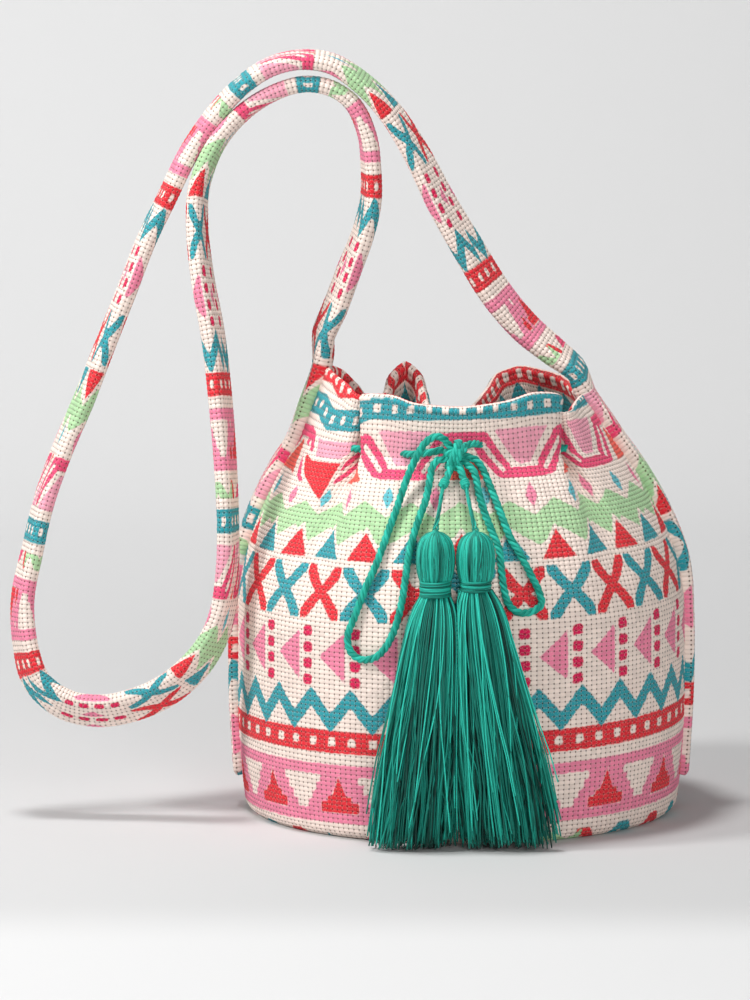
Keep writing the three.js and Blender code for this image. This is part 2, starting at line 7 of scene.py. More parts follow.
import bpy
import numpy as np
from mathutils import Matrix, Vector


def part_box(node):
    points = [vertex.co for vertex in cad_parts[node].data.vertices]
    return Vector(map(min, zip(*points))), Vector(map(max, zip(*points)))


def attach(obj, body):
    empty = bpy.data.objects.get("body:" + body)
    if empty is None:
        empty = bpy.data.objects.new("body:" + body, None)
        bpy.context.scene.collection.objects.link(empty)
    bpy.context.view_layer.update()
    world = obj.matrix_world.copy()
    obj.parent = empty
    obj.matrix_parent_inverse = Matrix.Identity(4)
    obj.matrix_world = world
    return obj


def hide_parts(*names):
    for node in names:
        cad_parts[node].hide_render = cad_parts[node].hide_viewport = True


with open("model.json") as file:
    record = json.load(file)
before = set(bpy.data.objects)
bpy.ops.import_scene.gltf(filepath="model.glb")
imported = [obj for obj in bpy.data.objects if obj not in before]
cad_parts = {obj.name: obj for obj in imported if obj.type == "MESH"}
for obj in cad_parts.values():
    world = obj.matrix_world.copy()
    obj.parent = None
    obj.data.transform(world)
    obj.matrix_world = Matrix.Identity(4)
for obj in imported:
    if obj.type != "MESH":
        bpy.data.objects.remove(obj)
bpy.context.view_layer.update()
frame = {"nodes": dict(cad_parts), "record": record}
mm = 0.001
fullTurn = 2 * math.pi

# The camera stands where the photographer's long lens did, a little above the bag.
camera = {
    "distance": 4500,
    "elevation": 8.5,
    "aim": (-43.9, 0, 157.6),
    "frameHeight": 507.7,  # millimetres seen from top to bottom at the bag
    "sensor": 36,
}


def makeCamera():
    data = bpy.data.cameras.new("camera")
    data.sensor_width = camera["sensor"]
    data.lens = camera["sensor"] * camera["distance"] / camera["frameHeight"]
    data.clip_start = 0.1
    data.clip_end = 50
    tilt = math.radians(camera["elevation"])
    back = Vector((0, -math.cos(tilt), math.sin(tilt)))
    holder = bpy.data.objects.new("camera", data)
    holder.location = (Vector(camera["aim"]) + back * camera["distance"]) * mm
    holder.rotation_euler = (-back).to_track_quat("-Z", "Y").to_euler()
    bpy.context.scene.collection.objects.link(holder)
    bpy.context.scene.camera = holder


makeCamera()
print("camera placed")


# Curves and meshes that every piece uses.
def curveThrough(points, places, closed=False):
    # Centripetal curve, so that it doesn't swing out between close points.
    points = np.asarray(points, float)
    count = len(points)
    if closed:
        place = (np.asarray(places) % 1.0) * count
        first = np.floor(place).astype(int) % count
        ring = [points[(first + k) % count] for k in (-1, 0, 1, 2)]
        part = (place - np.floor(place))[:, None]
    else:
        place = np.clip(np.asarray(places, float), 0, 1) * (count - 1)
        first = np.minimum(np.floor(place).astype(int), count - 2)
        longer = np.vstack([2 * points[0] - points[1], points, 2 * points[-1] - points[-2]])
        ring = [longer[first + k] for k in (0, 1, 2, 3)]
        part = (place - first)[:, None]
    a, b, c, d = ring
    gap = [np.maximum(((q - p) ** 2).sum(1), 1e-12)[:, None] ** 0.25 for p, q in ((a, b), (b, c), (c, d))]
    leave = ((b - a) / gap[0] - (c - a) / (gap[0] + gap[1]) + (c - b) / gap[1]) * gap[1]
    arrive = ((c - b) / gap[1] - (d - b) / (gap[1] + gap[2]) + (d - c) / gap[2]) * gap[1]
    square = -3 * b + 3 * c - 2 * leave - arrive
    cube = 2 * b - 2 * c + leave + arrive
    return b + leave * part + square * part**2 + cube * part**3


def lengthsAlong(line):
    return np.concatenate([[0], np.cumsum(np.linalg.norm(np.diff(line, axis=0), axis=1))])


def smoothRoute(points, step):
    # A smooth line through the places, with its own points a fixed step apart.
    line = curveThrough(points, np.linspace(0, 1, len(points) * 24))
    reach = lengthsAlong(line)
    marks = np.linspace(0, reach[-1], max(3, int(round(reach[-1] / step)) + 1))
    return np.stack([np.interp(marks, reach, line[:, k]) for k in range(3)], axis=1)


def unit(rows):
    return rows / np.maximum(np.linalg.norm(rows, axis=-1, keepdims=True), 1e-12)


def framesAlong(line):
    # A tangent and two cross directions at each point, carried along without twist.
    tangent = unit(np.gradient(line, axis=0))
    side = np.zeros_like(line)
    start = np.cross(tangent[0], (0.3, 0.2, 1.0))
    side[0] = start / np.linalg.norm(start)
    for i in range(1, len(line)):
        moved = side[i - 1] - tangent[i] * (side[i - 1] @ tangent[i])
        side[i] = moved / np.linalg.norm(moved)
    return tangent, side, np.cross(tangent, side)


def ringFaces(rows, columns, loopRows=False, offset=0):
    # Four-sided faces between closed rings of points.
    row, left = np.meshgrid(np.arange(rows if loopRows else rows - 1), np.arange(columns), indexing="ij")
    down, up = row * columns, ((row + 1) % rows) * columns
    right = (left + 1) % columns
    quads = np.stack([down + left, down + right, up + right, up + left], axis=-1)
    return quads.reshape(-1, 4) + offset


def makePiece(name, points, faces, material, maps=None, fields=None):
    # points in millimetres. maps are named face-corner coordinates and fields are named point values.
    mesh = bpy.data.meshes.new(name)
    flat = np.concatenate([group.ravel() for group in faces])
    sizes = np.concatenate([np.full(len(group), group.shape[1]) for group in faces])
    mesh.vertices.add(len(points))
    mesh.vertices.foreach_set("co", (np.asarray(points, np.float32) * mm).ravel())
    mesh.loops.add(len(flat))
    mesh.loops.foreach_set("vertex_index", flat.astype(np.int32))
    mesh.polygons.add(len(sizes))
    mesh.polygons.foreach_set("loop_start", np.concatenate([[0], np.cumsum(sizes)[:-1]]).astype(np.int32))
    mesh.polygons.foreach_set("use_smooth", np.ones(len(sizes), bool))
    for key, values in (maps or {}).items():
        layer = mesh.uv_layers.new(name=key)
        layer.data.foreach_set("uv", np.asarray(values, np.float32).ravel())
    for key, values in (fields or {}).items():
        layer = mesh.attributes.new(key, "FLOAT_COLOR", "POINT")
        layer.data.foreach_set("color", np.asarray(values, np.float32).ravel())
    mesh.update(calc_edges=True)
    mesh.validate()
    piece = bpy.data.objects.new(name, mesh)
    bpy.context.scene.collection.objects.link(piece)
    mesh.materials.append(material)
    return piece


def capFan(ring, centre, flip=False):
    # Triangles that close a ring of points round a middle one.
    following = np.roll(ring, -1)
    order = (following, ring) if flip else (ring, following)
    return np.stack([*order, np.full(len(ring), centre)], axis=1)


def ringMaps(us, vs, loopRows=False):
    # Face-corner coordinates for rings: us has one more column than the ring, so the seam closes.
    if loopRows:
        us, vs = np.vstack([us, us[:1]]), np.vstack([vs, vs[:1]])
    corners = [(slice(0, -1), slice(0, -1)), (slice(0, -1), slice(1, None))]
    corners += [(slice(1, None), slice(1, None)), (slice(1, None), slice(0, -1))]
    return np.stack([np.stack([us[c], vs[c]], axis=-1) for c in corners], axis=2).reshape(-1, 2)


def clothMaps(across, marks, loopRows=False):
    # Places on the flat cloth in millimetres, and counted in stitches: a row or a column is half a stitch.
    rows, count = marks.shape
    us, vs = np.meshgrid(np.arange(count) / 2, np.arange(rows) / 2)
    flat = ringMaps(np.broadcast_to(across, marks.shape), marks, loopRows)
    return {"cloth": flat, "stitch": ringMaps(us, vs, loopRows)}


# Materials. Colours are written as sRGB hex and turned to linear here.
def linear(code):
    parts = [int(code[i : i + 2], 16) / 255 for i in (1, 3, 5)]
    return (*(p / 12.92 if p <= 0.04045 else ((p + 0.055) / 1.055) ** 2.4 for p in parts), 1)


def addNode(tree, kind, settings=None, links=None):
    node = tree.nodes.new(kind)
    for key, value in (settings or {}).items():
        if isinstance(key, int) or key in node.inputs:
            node.inputs[key].default_value = value
        else:
            setattr(node, key, value)
    for key, source in (links or {}).items():
        tree.links.new(source, node.inputs[key])
    return node


def newMaterial(name):
    material = bpy.data.materials.new(name)
    material.use_nodes = True
    material.node_tree.nodes.clear()
    return material, material.node_tree


def finishMaterial(tree, shader):
    addNode(tree, "ShaderNodeOutputMaterial", links={"Surface": shader.outputs[0]})


canvas = {
    "cream": "#F9E6DB",
    "gap": "#6E5B49",  # the shade down between the stitches
    "inks": {
        "printWarm": ["#E62B37", "#DD1A55", "#F489A7"],  # red, magenta, pink
        "printCool": ["#2C9DA8", "#B2DAA6", "#F75F50"],  # teal, mint, coral
        "printPale": ["#EE4B77", "#62BFCB", "#F6A6BA"],  # rose, sky, light pink
    },
    "edge": 0.35,  # how softly a printed edge ends, in millimetres
    "bleed": 1.5,  # how far the ink wanders along the stitches
}


def printedCanvas(name):
    # Printed cotton canvas of coarse basket weave: matt and knobbly, with painted shade in the gaps between stitches
    # and towards each knob's edges.
    material, tree = newMaterial(name)
    stitch = addNode(tree, "ShaderNodeUVMap", {"uv_map": "stitch"})
    cloth = addNode(tree, "ShaderNodeUVMap", {"uv_map": "cloth"})
    split = addNode(tree, "ShaderNodeSeparateXYZ", links={0: stitch.outputs[0]})
    swell = []
    for axis in (0, 1):
        turn = addNode(tree, "ShaderNodeMath", {"operation": "MULTIPLY", 1: math.pi}, {0: split.outputs[axis]})
        wave = addNode(tree, "ShaderNodeMath", {"operation": "SINE"}, {0: turn.outputs[0]})
        swell.append(addNode(tree, "ShaderNodeMath", {"operation": "ABSOLUTE"}, {0: wave.outputs[0]}))
    # A stitch is a short horizontal knot: flat along its length, round across it.
    along = addNode(tree, "ShaderNodeMath", {"operation": "POWER", 1: 0.5}, {0: swell[0].outputs[0]})
    across = addNode(tree, "ShaderNodeMath", {"operation": "POWER", 1: 0.8}, {0: swell[1].outputs[0]})
    knob = addNode(tree, "ShaderNodeMath", {"operation": "MULTIPLY"}, {0: along.outputs[0], 1: across.outputs[0]})
    narrow = addNode(tree, "ShaderNodeMath", {"operation": "MULTIPLY", 1: 1.5}, {0: swell[0].outputs[0]})
    widest = addNode(
        tree, "ShaderNodeMath", {"operation": "MAXIMUM"}, {0: narrow.outputs[0], 1: swell[1].outputs[0]}
    )
    # Painted shade: these masks darken the hollows between stitches and each knob towards its edges.
    gap = addNode(
        tree, "ShaderNodeMapRange", {"interpolation_type": "SMOOTHSTEP", 1: 0.3, 2: 0.66}, {0: widest.outputs[0]}
    )
    knobEdgeShade = addNode(tree, "ShaderNodeMapRange", {1: 0.0, 2: 0.6, 3: 0.86, 4: 1.0}, {0: knob.outputs[0]})
    cell = addNode(tree, "ShaderNodeVectorMath", {"operation": "FLOOR"}, {0: stitch.outputs[0]})
    oneStitch = addNode(tree, "ShaderNodeTexWhiteNoise", {"noise_dimensions": "2D"}, {"Vector": cell.outputs[0]})
    uneven = addNode(tree, "ShaderNodeMapRange", {3: 0.9, 4: 1.04}, {0: oneStitch.outputs["Value"]})
    fibre = addNode(tree, "ShaderNodeTexNoise", {"Scale": 1.5, "Detail": 3.0}, {0: cloth.outputs[0]})
    wander = addNode(tree, "ShaderNodeTexNoise", {"Scale": 0.42, "Detail": 1.0}, {0: cloth.outputs[0]})
    shift = addNode(
        tree, "ShaderNodeMath", {"operation": "MULTIPLY_ADD", 1: canvas["bleed"], 2: -canvas["bleed"] / 2},
        {0: wander.outputs[0]},
    )
    colour = addNode(tree, "ShaderNodeRGB")
    colour.outputs[0].default_value = linear(canvas["cream"])
    current = colour.outputs[0]
    for layer, inks in canvas["inks"].items():
        values = addNode(tree, "ShaderNodeAttribute", {"attribute_name": layer})
        parts = addNode(tree, "ShaderNodeSeparateColor", links={0: values.outputs["Color"]})
        for socket, ink in enumerate(inks):
            reach = addNode(
                tree, "ShaderNodeMath", {"operation": "ADD"}, {0: parts.outputs[socket], 1: shift.outputs[0]}
            )
            cover = addNode(
                tree, "ShaderNodeMapRange", {1: -canvas["edge"], 2: canvas["edge"]}, {0: reach.outputs[0]}
            )
            laid = addNode(
                tree, "ShaderNodeMix", {"data_type": "RGBA", 7: linear(ink)}, {0: cover.outputs[0], 6: current}
            )
            current = laid.outputs[2]
    # Ink sits on the tops of the stitches and lets paler fibre through in specks.
    thin = addNode(
        tree, "ShaderNodeMath", {"operation": "MULTIPLY_ADD", 1: -0.2}, {0: knob.outputs[0], 2: fibre.outputs[0]}
    )
    speck = addNode(
        tree, "ShaderNodeMapRange", {"interpolation_type": "SMOOTHSTEP", 1: 0.36, 2: 0.66, 3: 0.0, 4: 0.32},
        {0: thin.outputs[0]},
    )
    worn = addNode(
        tree, "ShaderNodeMix", {"data_type": "RGBA", 7: linear(canvas["cream"])}, {0: speck.outputs[0], 6: current}
    )
    # Painted shade is multiplied in here together with each stitch's own random tone, and the gaps take the dark gap
    # colour.
    tone = addNode(tree, "ShaderNodeMath", {"operation": "MULTIPLY"}, {0: knobEdgeShade.outputs[0], 1: uneven.outputs[0]})
    shade = addNode(
        tree, "ShaderNodeMix", {"data_type": "RGBA", "blend_type": "MULTIPLY", 0: 1.0},
        {6: worn.outputs[2], 7: tone.outputs[0]},
    )
    dark = addNode(
        tree, "ShaderNodeMix", {"data_type": "RGBA", "blend_type": "MULTIPLY", 0: 1.0, 7: linear(canvas["gap"])},
        {6: shade.outputs[2]},
    )
    final = addNode(
        tree, "ShaderNodeMix", {"data_type": "RGBA"}, {0: gap.outputs[0], 6: dark.outputs[2], 7: shade.outputs[2]}
    )
    hair = addNode(
        tree, "ShaderNodeMath", {"operation": "MULTIPLY_ADD", 1: 0.22}, {0: fibre.outputs[0], 2: knob.outputs[0]}
    )
    bump = addNode(
        tree, "ShaderNodeBump", {"Strength": 0.75, "Distance": 0.0006}, {"Height": hair.outputs[0]}
    )
    shader = addNode(
        tree, "ShaderNodeBsdfPrincipled",
        {"Roughness": 0.88, "IOR": 1.46, "Sheen Weight": 0.04, "Sheen Roughness": 0.6, "Specular IOR Level": 0.2},
        {"Base Color": final.outputs[2], "Normal": bump.outputs[0]},
    )
    finishMaterial(tree, shader)
    return material


yarn = {
    "light": "#2CC9B3",
    "middle": "#048372",
    "deep": "#012B25",
}


def dyedYarn(name, brightness):
    # Mercerised cotton yarn: soft gloss along the fibres, each strand a little lighter or darker.
    material, tree = newMaterial(name)
    place = addNode(tree, "ShaderNodeUVMap", {"uv_map": "yarn"})
    split = addNode(tree, "ShaderNodeSeparateXYZ", links={0: place.outputs[0]})
    stretched = addNode(tree, "ShaderNodeMapping", {"Scale": (40.0, 0.12, 1.0)}, {0: place.outputs[0]})
    fibre = addNode(tree, "ShaderNodeTexNoise", {"Scale": 1.0, "Detail": 3.0}, {0: stretched.outputs[0]})
    tone = addNode(
        tree, "ShaderNodeMath", {"operation": "MULTIPLY_ADD", 1: 0.75, 2: brightness}, {0: split.outputs[0]}
    )
    mixed = addNode(
        tree, "ShaderNodeMath", {"operation": "MULTIPLY_ADD", 1: 0.5}, {0: fibre.outputs[0], 2: tone.outputs[0]}
    )
    ramp = addNode(tree, "ShaderNodeValToRGB", links={0: mixed.outputs[0]})
    first, last = ramp.color_ramp.elements
    first.position, first.color = 0.2, linear(yarn["deep"])
    last.position, last.color = 1.0, linear(yarn["light"])
    ramp.color_ramp.elements.new(0.6).color = linear(yarn["middle"])
    bump = addNode(
        tree, "ShaderNodeBump", {"Strength": 0.6, "Distance": 0.0003}, {"Height": fibre.outputs[0]}
    )
    shader = addNode(
        tree, "ShaderNodeBsdfPrincipled",
        {"Roughness": 0.58, "IOR": 1.5, "Sheen Weight": 0.06, "Sheen Roughness": 0.4, "Specular IOR Level": 0.3},
        {"Base Color": ramp.outputs[0], "Normal": bump.outputs[0]},
    )
    finishMaterial(tree, shader)
    return material


def plainCotton(name, code, pitch):
    # Undyed cotton lining: fine plain weave, matt, with faint uneven threads.
    material, tree = newMaterial(name)
    place = addNode(tree, "ShaderNodeTexCoord")
    warp = addNode(
        tree, "ShaderNodeTexWave", {"bands_direction": "Z", "Scale": 1 / (pitch * mm) / 20, "Distortion": 0.4},
        {0: place.outputs["Object"]},
    )
    uneven = addNode(tree, "ShaderNodeTexNoise", {"Scale": 60.0, "Detail": 4.0}, {0: place.outputs["Object"]})
    tone = addNode(
        tree, "ShaderNodeMapRange", {1: 0.3, 2: 0.7, 3: 0.86, 4: 1.0}, {0: uneven.outputs[0]}
    )
    colour = addNode(
        tree, "ShaderNodeMix", {"data_type": "RGBA", "blend_type": "MULTIPLY", 0: 1.0, 6: linear(code)},
        {7: tone.outputs[0]},
    )
    bump = addNode(
        tree, "ShaderNodeBump", {"Strength": 0.5, "Distance": 0.0002}, {"Height": warp.outputs[1]}
    )
    shader = addNode(
        tree, "ShaderNodeBsdfPrincipled",
        {"Roughness": 0.9, "IOR": 1.46, "Sheen Weight": 0.1, "Specular IOR Level": 0.2},
        {"Base Color": colour.outputs[2], "Normal": bump.outputs[0]},
    )
    finishMaterial(tree, shader)
    return material


canvasCloth = printedCanvas("printedCanvas")
tasselYarn = dyedYarn("tasselYarn", 0.0)
cordYarn = dyedYarn("twistedCottonCord", 0.12)
liningCotton = plainCotton("liningCotton", "#E9E0CF", 0.9)
boardCard = plainCotton("greyCard", "#8F8373", 2.4)
print("materials made")

# Yarn and cord pieces are tubes gathered in one bundle.
def newBundle():
    return {"points": [], "quads": [], "quadMaps": [], "ends": [], "endMaps": [], "count": 0}


def addTube(bundle, line, radius, sides=8, tone=0.5):
    line = np.asarray(line, float)
    _, side, up = framesAlong(line)
    angle = np.arange(sides) / sides * fullTurn
    ring = side[:, None] * np.cos(angle)[None, :, None] + up[:, None] * np.sin(angle)[None, :, None]
    radius = np.broadcast_to(np.asarray(radius, float), len(line))
    points = line[:, None] + ring * radius[:, None, None]
    reach = lengthsAlong(line)
    us = np.broadcast_to(tone + 0.05 * np.arange(sides + 1) / sides, (len(line), sides + 1))
    vs = np.broadcast_to(reach[:, None], (len(line), sides + 1))
    first = bundle["count"]
    last = first + len(line) * sides
    bundle["points"] += [points.reshape(-1, 3), line[[0, -1]]]
    bundle["quads"].append(ringFaces(len(line), sides, offset=first))
    bundle["quadMaps"].append(ringMaps(us, vs))
    bundle["ends"].append(capFan(first + np.arange(sides), last, flip=True))
    bundle["ends"].append(capFan(last - sides + np.arange(sides), last + 1))
    bundle["endMaps"].append(np.full((sides * 6, 2), tone))
    bundle["count"] = last + 2


def makeBundle(name, bundle, material, slot, bodyName, *nodes):
    faces = [np.concatenate(bundle["quads"]), np.concatenate(bundle["ends"])]
    maps = {"yarn": np.concatenate(bundle["quadMaps"] + bundle["endMaps"])}
    piece = makePiece(name, np.concatenate(bundle["points"]), faces, material, maps)
    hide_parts(*nodes)
    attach(piece, bodyName)
    return piece


# The drawstring, from the knot in at the left eyelet, round inside the neck and out at the right one.
cord = {
    "diameter": 4,
    "plies": 3,
    "lay": 9.6,  # one whole turn of a ply
    "step": 0.7,
    "sides": 10,
    "knotCentre": (-3.5, -81, 192),
    "knotRadius": 6.8,
    "tails": {"left": (-10.5, -91.5, 177.4), "right": (1.5, -93, 177.5)},
}
drawstringRoute = [
    (-9.8, -77, 194.6), (-17.2, -75.6, 192.7), (-25.7, -71.5, 191.3), (-31.7, -63, 190.7),
    (-42, -54.5, 190.5), (-54, -46, 190.5), (-66, -32, 190.5), (-73.5, -14, 190.5),
    (-74.5, 4, 190.5), (-68, 16.5, 190.5), (-56, 19.5, 190.5), (-42, 20.5, 190.5),
    (-28, 20.5, 190.5), (-12, 21, 190.5), (2, 23, 190.5), (16, 29, 190.5),
    (30, 40, 190.5), (45, 47, 190.5), (58, 41, 190.5), (67, 26, 190.5),
    (70.5, 6, 190.5), (69, -14, 190.5), (62, -32, 190.5), (50, -46.5, 190.8),
    (37, -55.5, 191.4), (24.8, -61, 192.5), (15.3, -63.5, 194.2), (8.8, -69.5, 196),
    (4.4, -75.4, 197.2), (1, -77.4, 196.4),
]
leftLoopRoute = [
    (-7.5, -82.1, 198), (-9.2, -82.6, 200.3), (-12.9, -83, 202), (-18, -81.6, 199.4),
    (-22.6, -80.6, 192.5), (-27.7, -83.6, 181.7), (-32.8, -88, 167.4), (-37.9, -93.2, 154.1),
    (-43, -98.4, 140.8), (-49, -101, 127.4), (-54, -101.8, 114.2), (-57.5, -101.8, 104),
    (-56, -103, 96.8), (-51, -105.5, 93.2), (-44, -108.5, 94.6), (-38.9, -110.3, 99.7),
    (-34.3, -111, 108.9), (-30.7, -109.5, 122.2), (-28.6, -105.4, 135.5), (-26.6, -100.8, 147.9),
    (-22.5, -95, 161.2), (-18.4, -90, 172), (-16.8, -87.2, 179.7), (-15.4, -84.9, 186.8),
    (-13, -83.4, 189.9), (-10.5, -82.8, 190.4),
]
rightLoopRoute = [
    (3.9, -80.6, 190.8), (6.2, -80.8, 189.9), (9.5, -82, 185.8), (12.8, -85.6, 178.7),
    (16.5, -90, 170), (20, -95.4, 161.2), (23.6, -100, 153), (28.6, -103, 144.8),
    (33.6, -105.4, 135.5), (37.6, -106.8, 127.3), (38.6, -107.6, 121.2), (33.1, -109.6, 117.7),
    (26.6, -111.2, 118.1), (22.1, -111.4, 122.6), (20.1, -110, 129.3), (18.8, -107, 138.6),
    (17.7, -103, 147.9), (13.9, -98, 157.1), (9.8, -93, 167.4), (7.5, -89.8, 175.6),
    (6.5, -87.4, 181.2), (4.8, -85, 185.4), (2.2, -83.6, 187.7),
]


def addTwistedCord(bundle, line, diameter=None, tone=0.5):
    # Plies laid round each other to the left, each with its own shade.
    diameter = diameter or cord["diameter"]
    _, side, up = framesAlong(line)
    reach = lengthsAlong(line)
    plyRadius = diameter / 2 * 0.475
    offset = diameter / 2 - plyRadius
    for ply in range(cord["plies"]):
        angle = -fullTurn * (reach / cord["lay"] + ply / cord["plies"])
        centre = line + (side * np.cos(angle)[:, None] + up * np.sin(angle)[:, None]) * offset
        addTube(bundle, centre, plyRadius, cord["sides"], tone + 0.12 * (ply - 1))


def makeNeckCord():
    bundle = newBundle()
    addTwistedCord(bundle, smoothRoute(drawstringRoute, cord["step"]))
    makeBundle("drawstringCord", bundle, cordYarn, "drawstring_yarn", "bag", "drawstring_neck")


def makeBowLoop(name, route, node):
    bundle = newBundle()
    line = smoothRoute(route, cord["step"])
    addTwistedCord(bundle, line)
    piece = makeBundle(name, bundle, cordYarn, "drawstring_yarn", "bag", node)


knot = {
    "cordDiameter": 3.9,  # drawn tight
    "turns": [
        {"normal": (1.0, 0.12, -0.42), "shift": -1.6, "radius": 4.5, "squash": 1.45},
        {"normal": (1.0, -0.12, -0.3), "shift": 1.8, "radius": 4.3, "squash": 1.3},
        {"normal": (-0.2, 0.1, 1.0), "shift": 2.2, "radius": 3.9, "squash": 1.15},
    ],
    "coreHalf": 5,
    "coreRadius": 3.1,
    "strandEnd": (0, 1.5, 0),  # where the bow's strands end, from the knot's middle
}


def makeKnot():
    # Two upright wraps over a level one, all drawn tight.
    bundle = newBundle()
    centre = np.array(cord["knotCentre"])
    for turn in knot["turns"]:
        normal = np.array(turn["normal"]) / np.linalg.norm(turn["normal"])
        first = np.cross(normal, (0, 1, 0))
        first /= np.linalg.norm(first)
        second = np.cross(normal, first)
        angle = np.linspace(0, fullTurn * 1.02, 64)
        slide = np.linspace(-0.5, 0.5, len(angle))
        ring = first * (np.cos(angle) * turn["radius"] * turn["squash"])[:, None]
        ring = ring + second * (np.sin(angle) * turn["radius"])[:, None]
        ring = ring + normal * (turn["shift"] + slide)[:, None] + centre
        addTwistedCord(bundle, ring, knot["cordDiameter"], tone=0.56)
    # The bow's four strands run on into the knot.
    for route in (leftLoopRoute, rightLoopRoute):
        for end, past in ((route[0], route[1]), (route[-1], route[-2])):
            end, past = np.array(end, float), np.array(past, float)
            way = (end - past) / np.linalg.norm(end - past)
            strand = [end - way * 0.8, end + way * 1.6, centre + knot["strandEnd"]]
            addTwistedCord(bundle, smoothRoute(strand, cord["step"]))
    # The core fills the knot's middle with a darker tone: painted shade between the wraps.
    core = centre + np.outer(np.linspace(-knot["coreHalf"], knot["coreHalf"], 12), (0.2, 0, 1.0))
    addTube(bundle, core, knot["coreRadius"] * np.sqrt(1 - np.linspace(-0.9, 0.9, 12) ** 2), 12, 0.1)
    makeBundle("bowKnot", bundle, cordYarn, "drawstring_yarn", "bag", "drawstring_knot")


def tailRoute(side):
    # From just inside the knot down to the tassel's thread, and the way it points.
    centre = np.array(cord["knotCentre"])
    tail = np.array(cord["tails"][side])
    down = (tail - centre) / np.linalg.norm(tail - centre)
    start = centre + down * (cord["knotRadius"] - 2.4)
    bend = (start + tail) / 2 + (0, -0.6, 0)
    return start, bend, tail, down


whipping = {"turns": 2.6, "fromEnd": 2.6, "half": 1.6, "radius": 1.9, "yarn": 0.62}


def makeTail(side):
    # The cord's end, whipped with a few turns of yarn before the tassel's thread.
    bundle = newBundle()
    start, bend, tail, down = tailRoute(side)
    addTwistedCord(bundle, smoothRoute([start, bend, tail], cord["step"]), tone=0.52)
    angle = np.linspace(0, fullTurn * whipping["turns"], 60)
    across = np.cross(down, (0, 1, 0))
    across /= np.linalg.norm(across)
    other = np.cross(down, across)
    reach = np.linspace(-whipping["half"], whipping["half"], len(angle))
    coil = tail - down * whipping["fromEnd"] + np.outer(reach, down)
    coil = coil + across * (np.cos(angle) * whipping["radius"])[:, None]
    coil = coil + other * (np.sin(angle) * whipping["radius"])[:, None]
    addTube(bundle, coil, whipping["yarn"], 8, 0.62)
    node = f"cord_tail_{side}"
    makeBundle(f"cordTail_{side}", bundle, cordYarn, "drawstring_yarn", tasselBody(node), node)


def tasselBody(node):
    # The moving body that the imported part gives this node.
    return next(name for name, nodes in frame["record"]["behaviour"]["bodies"].items() if node in nodes)


makeNeckCord()
makeBowLoop("bowLoop_left", leftLoopRoute, "bow_loop_left")
makeBowLoop("bowLoop_right", rightLoopRoute, "bow_loop_right")
makeKnot()
makeTail("left")
makeTail("right")
print("cord, bow and knot made")


# The print, as the signed distance in millimetres from each colour's edge, inside counting up.
# u runs round the cloth from the front centre and v up it from the edge of the base.
printed = {
    "tilt": 0.021,  # the bands climb this much to the right
    "crossPeriod": 27.5,
    "wavePeriod": 24.2,
    "dotPeriod": 29.0,
    "squarePeriod": 11.9,
    "stepPeriod": 48.5,
    "archPeriod": 80.0,
    "repeat": 241.0,
}
inkLayers = {
    "printWarm": ["red", "magenta", "pink"],
    "printCool": ["teal", "mint", "coral"],
    "printPale": ["rose", "sky", "blush"],
}
farOff = -9.0  # stands for no ink anywhere near


def within(value, low, high):
    return np.minimum(value - low, high - value)


def nearest(u, period, start=0.0):
    # Distance from the nearest copy's middle, and which copy it is.
    copy = np.round((u - start) / period)
    return u - start - copy * period, copy.astype(int)


def box(x, y, halfWidth, halfHeight):
    return np.minimum(halfWidth - np.abs(x), halfHeight - np.abs(y))


def upTriangle(x, y, halfWidth, height):
    # y is measured up from the base.
    slope = height / halfWidth
    sides = (height - y - np.abs(x) * slope) / math.hypot(1, slope)
    return np.minimum(y, sides)


def fromLine(x, y, start, end):
    # Distance from a straight stroke between two places.
    along = np.array(end, float) - start
    share = np.clip(((x - start[0]) * along[0] + (y - start[1]) * along[1]) / (along @ along), 0, 1)
    return np.hypot(x - start[0] - along[0] * share, y - start[1] - along[1] * share)


def zigzag(u, v, period, start, middle, swing, half):
    x, _ = nearest(u, period, start)
    centre = middle + swing * (1 - 4 * np.abs(x) / period)
    slope = 4 * swing / period
    return half - np.abs(v - centre) / math.hypot(1, slope)


def squareBand(u, v, low, high, start, halfSquare=2.2):
    x, _ = nearest(u, printed["squarePeriod"], start)
    hole = box(x, v - (low + high) / 2, halfSquare, halfSquare)
    return np.minimum(within(v, low, high), -hole)


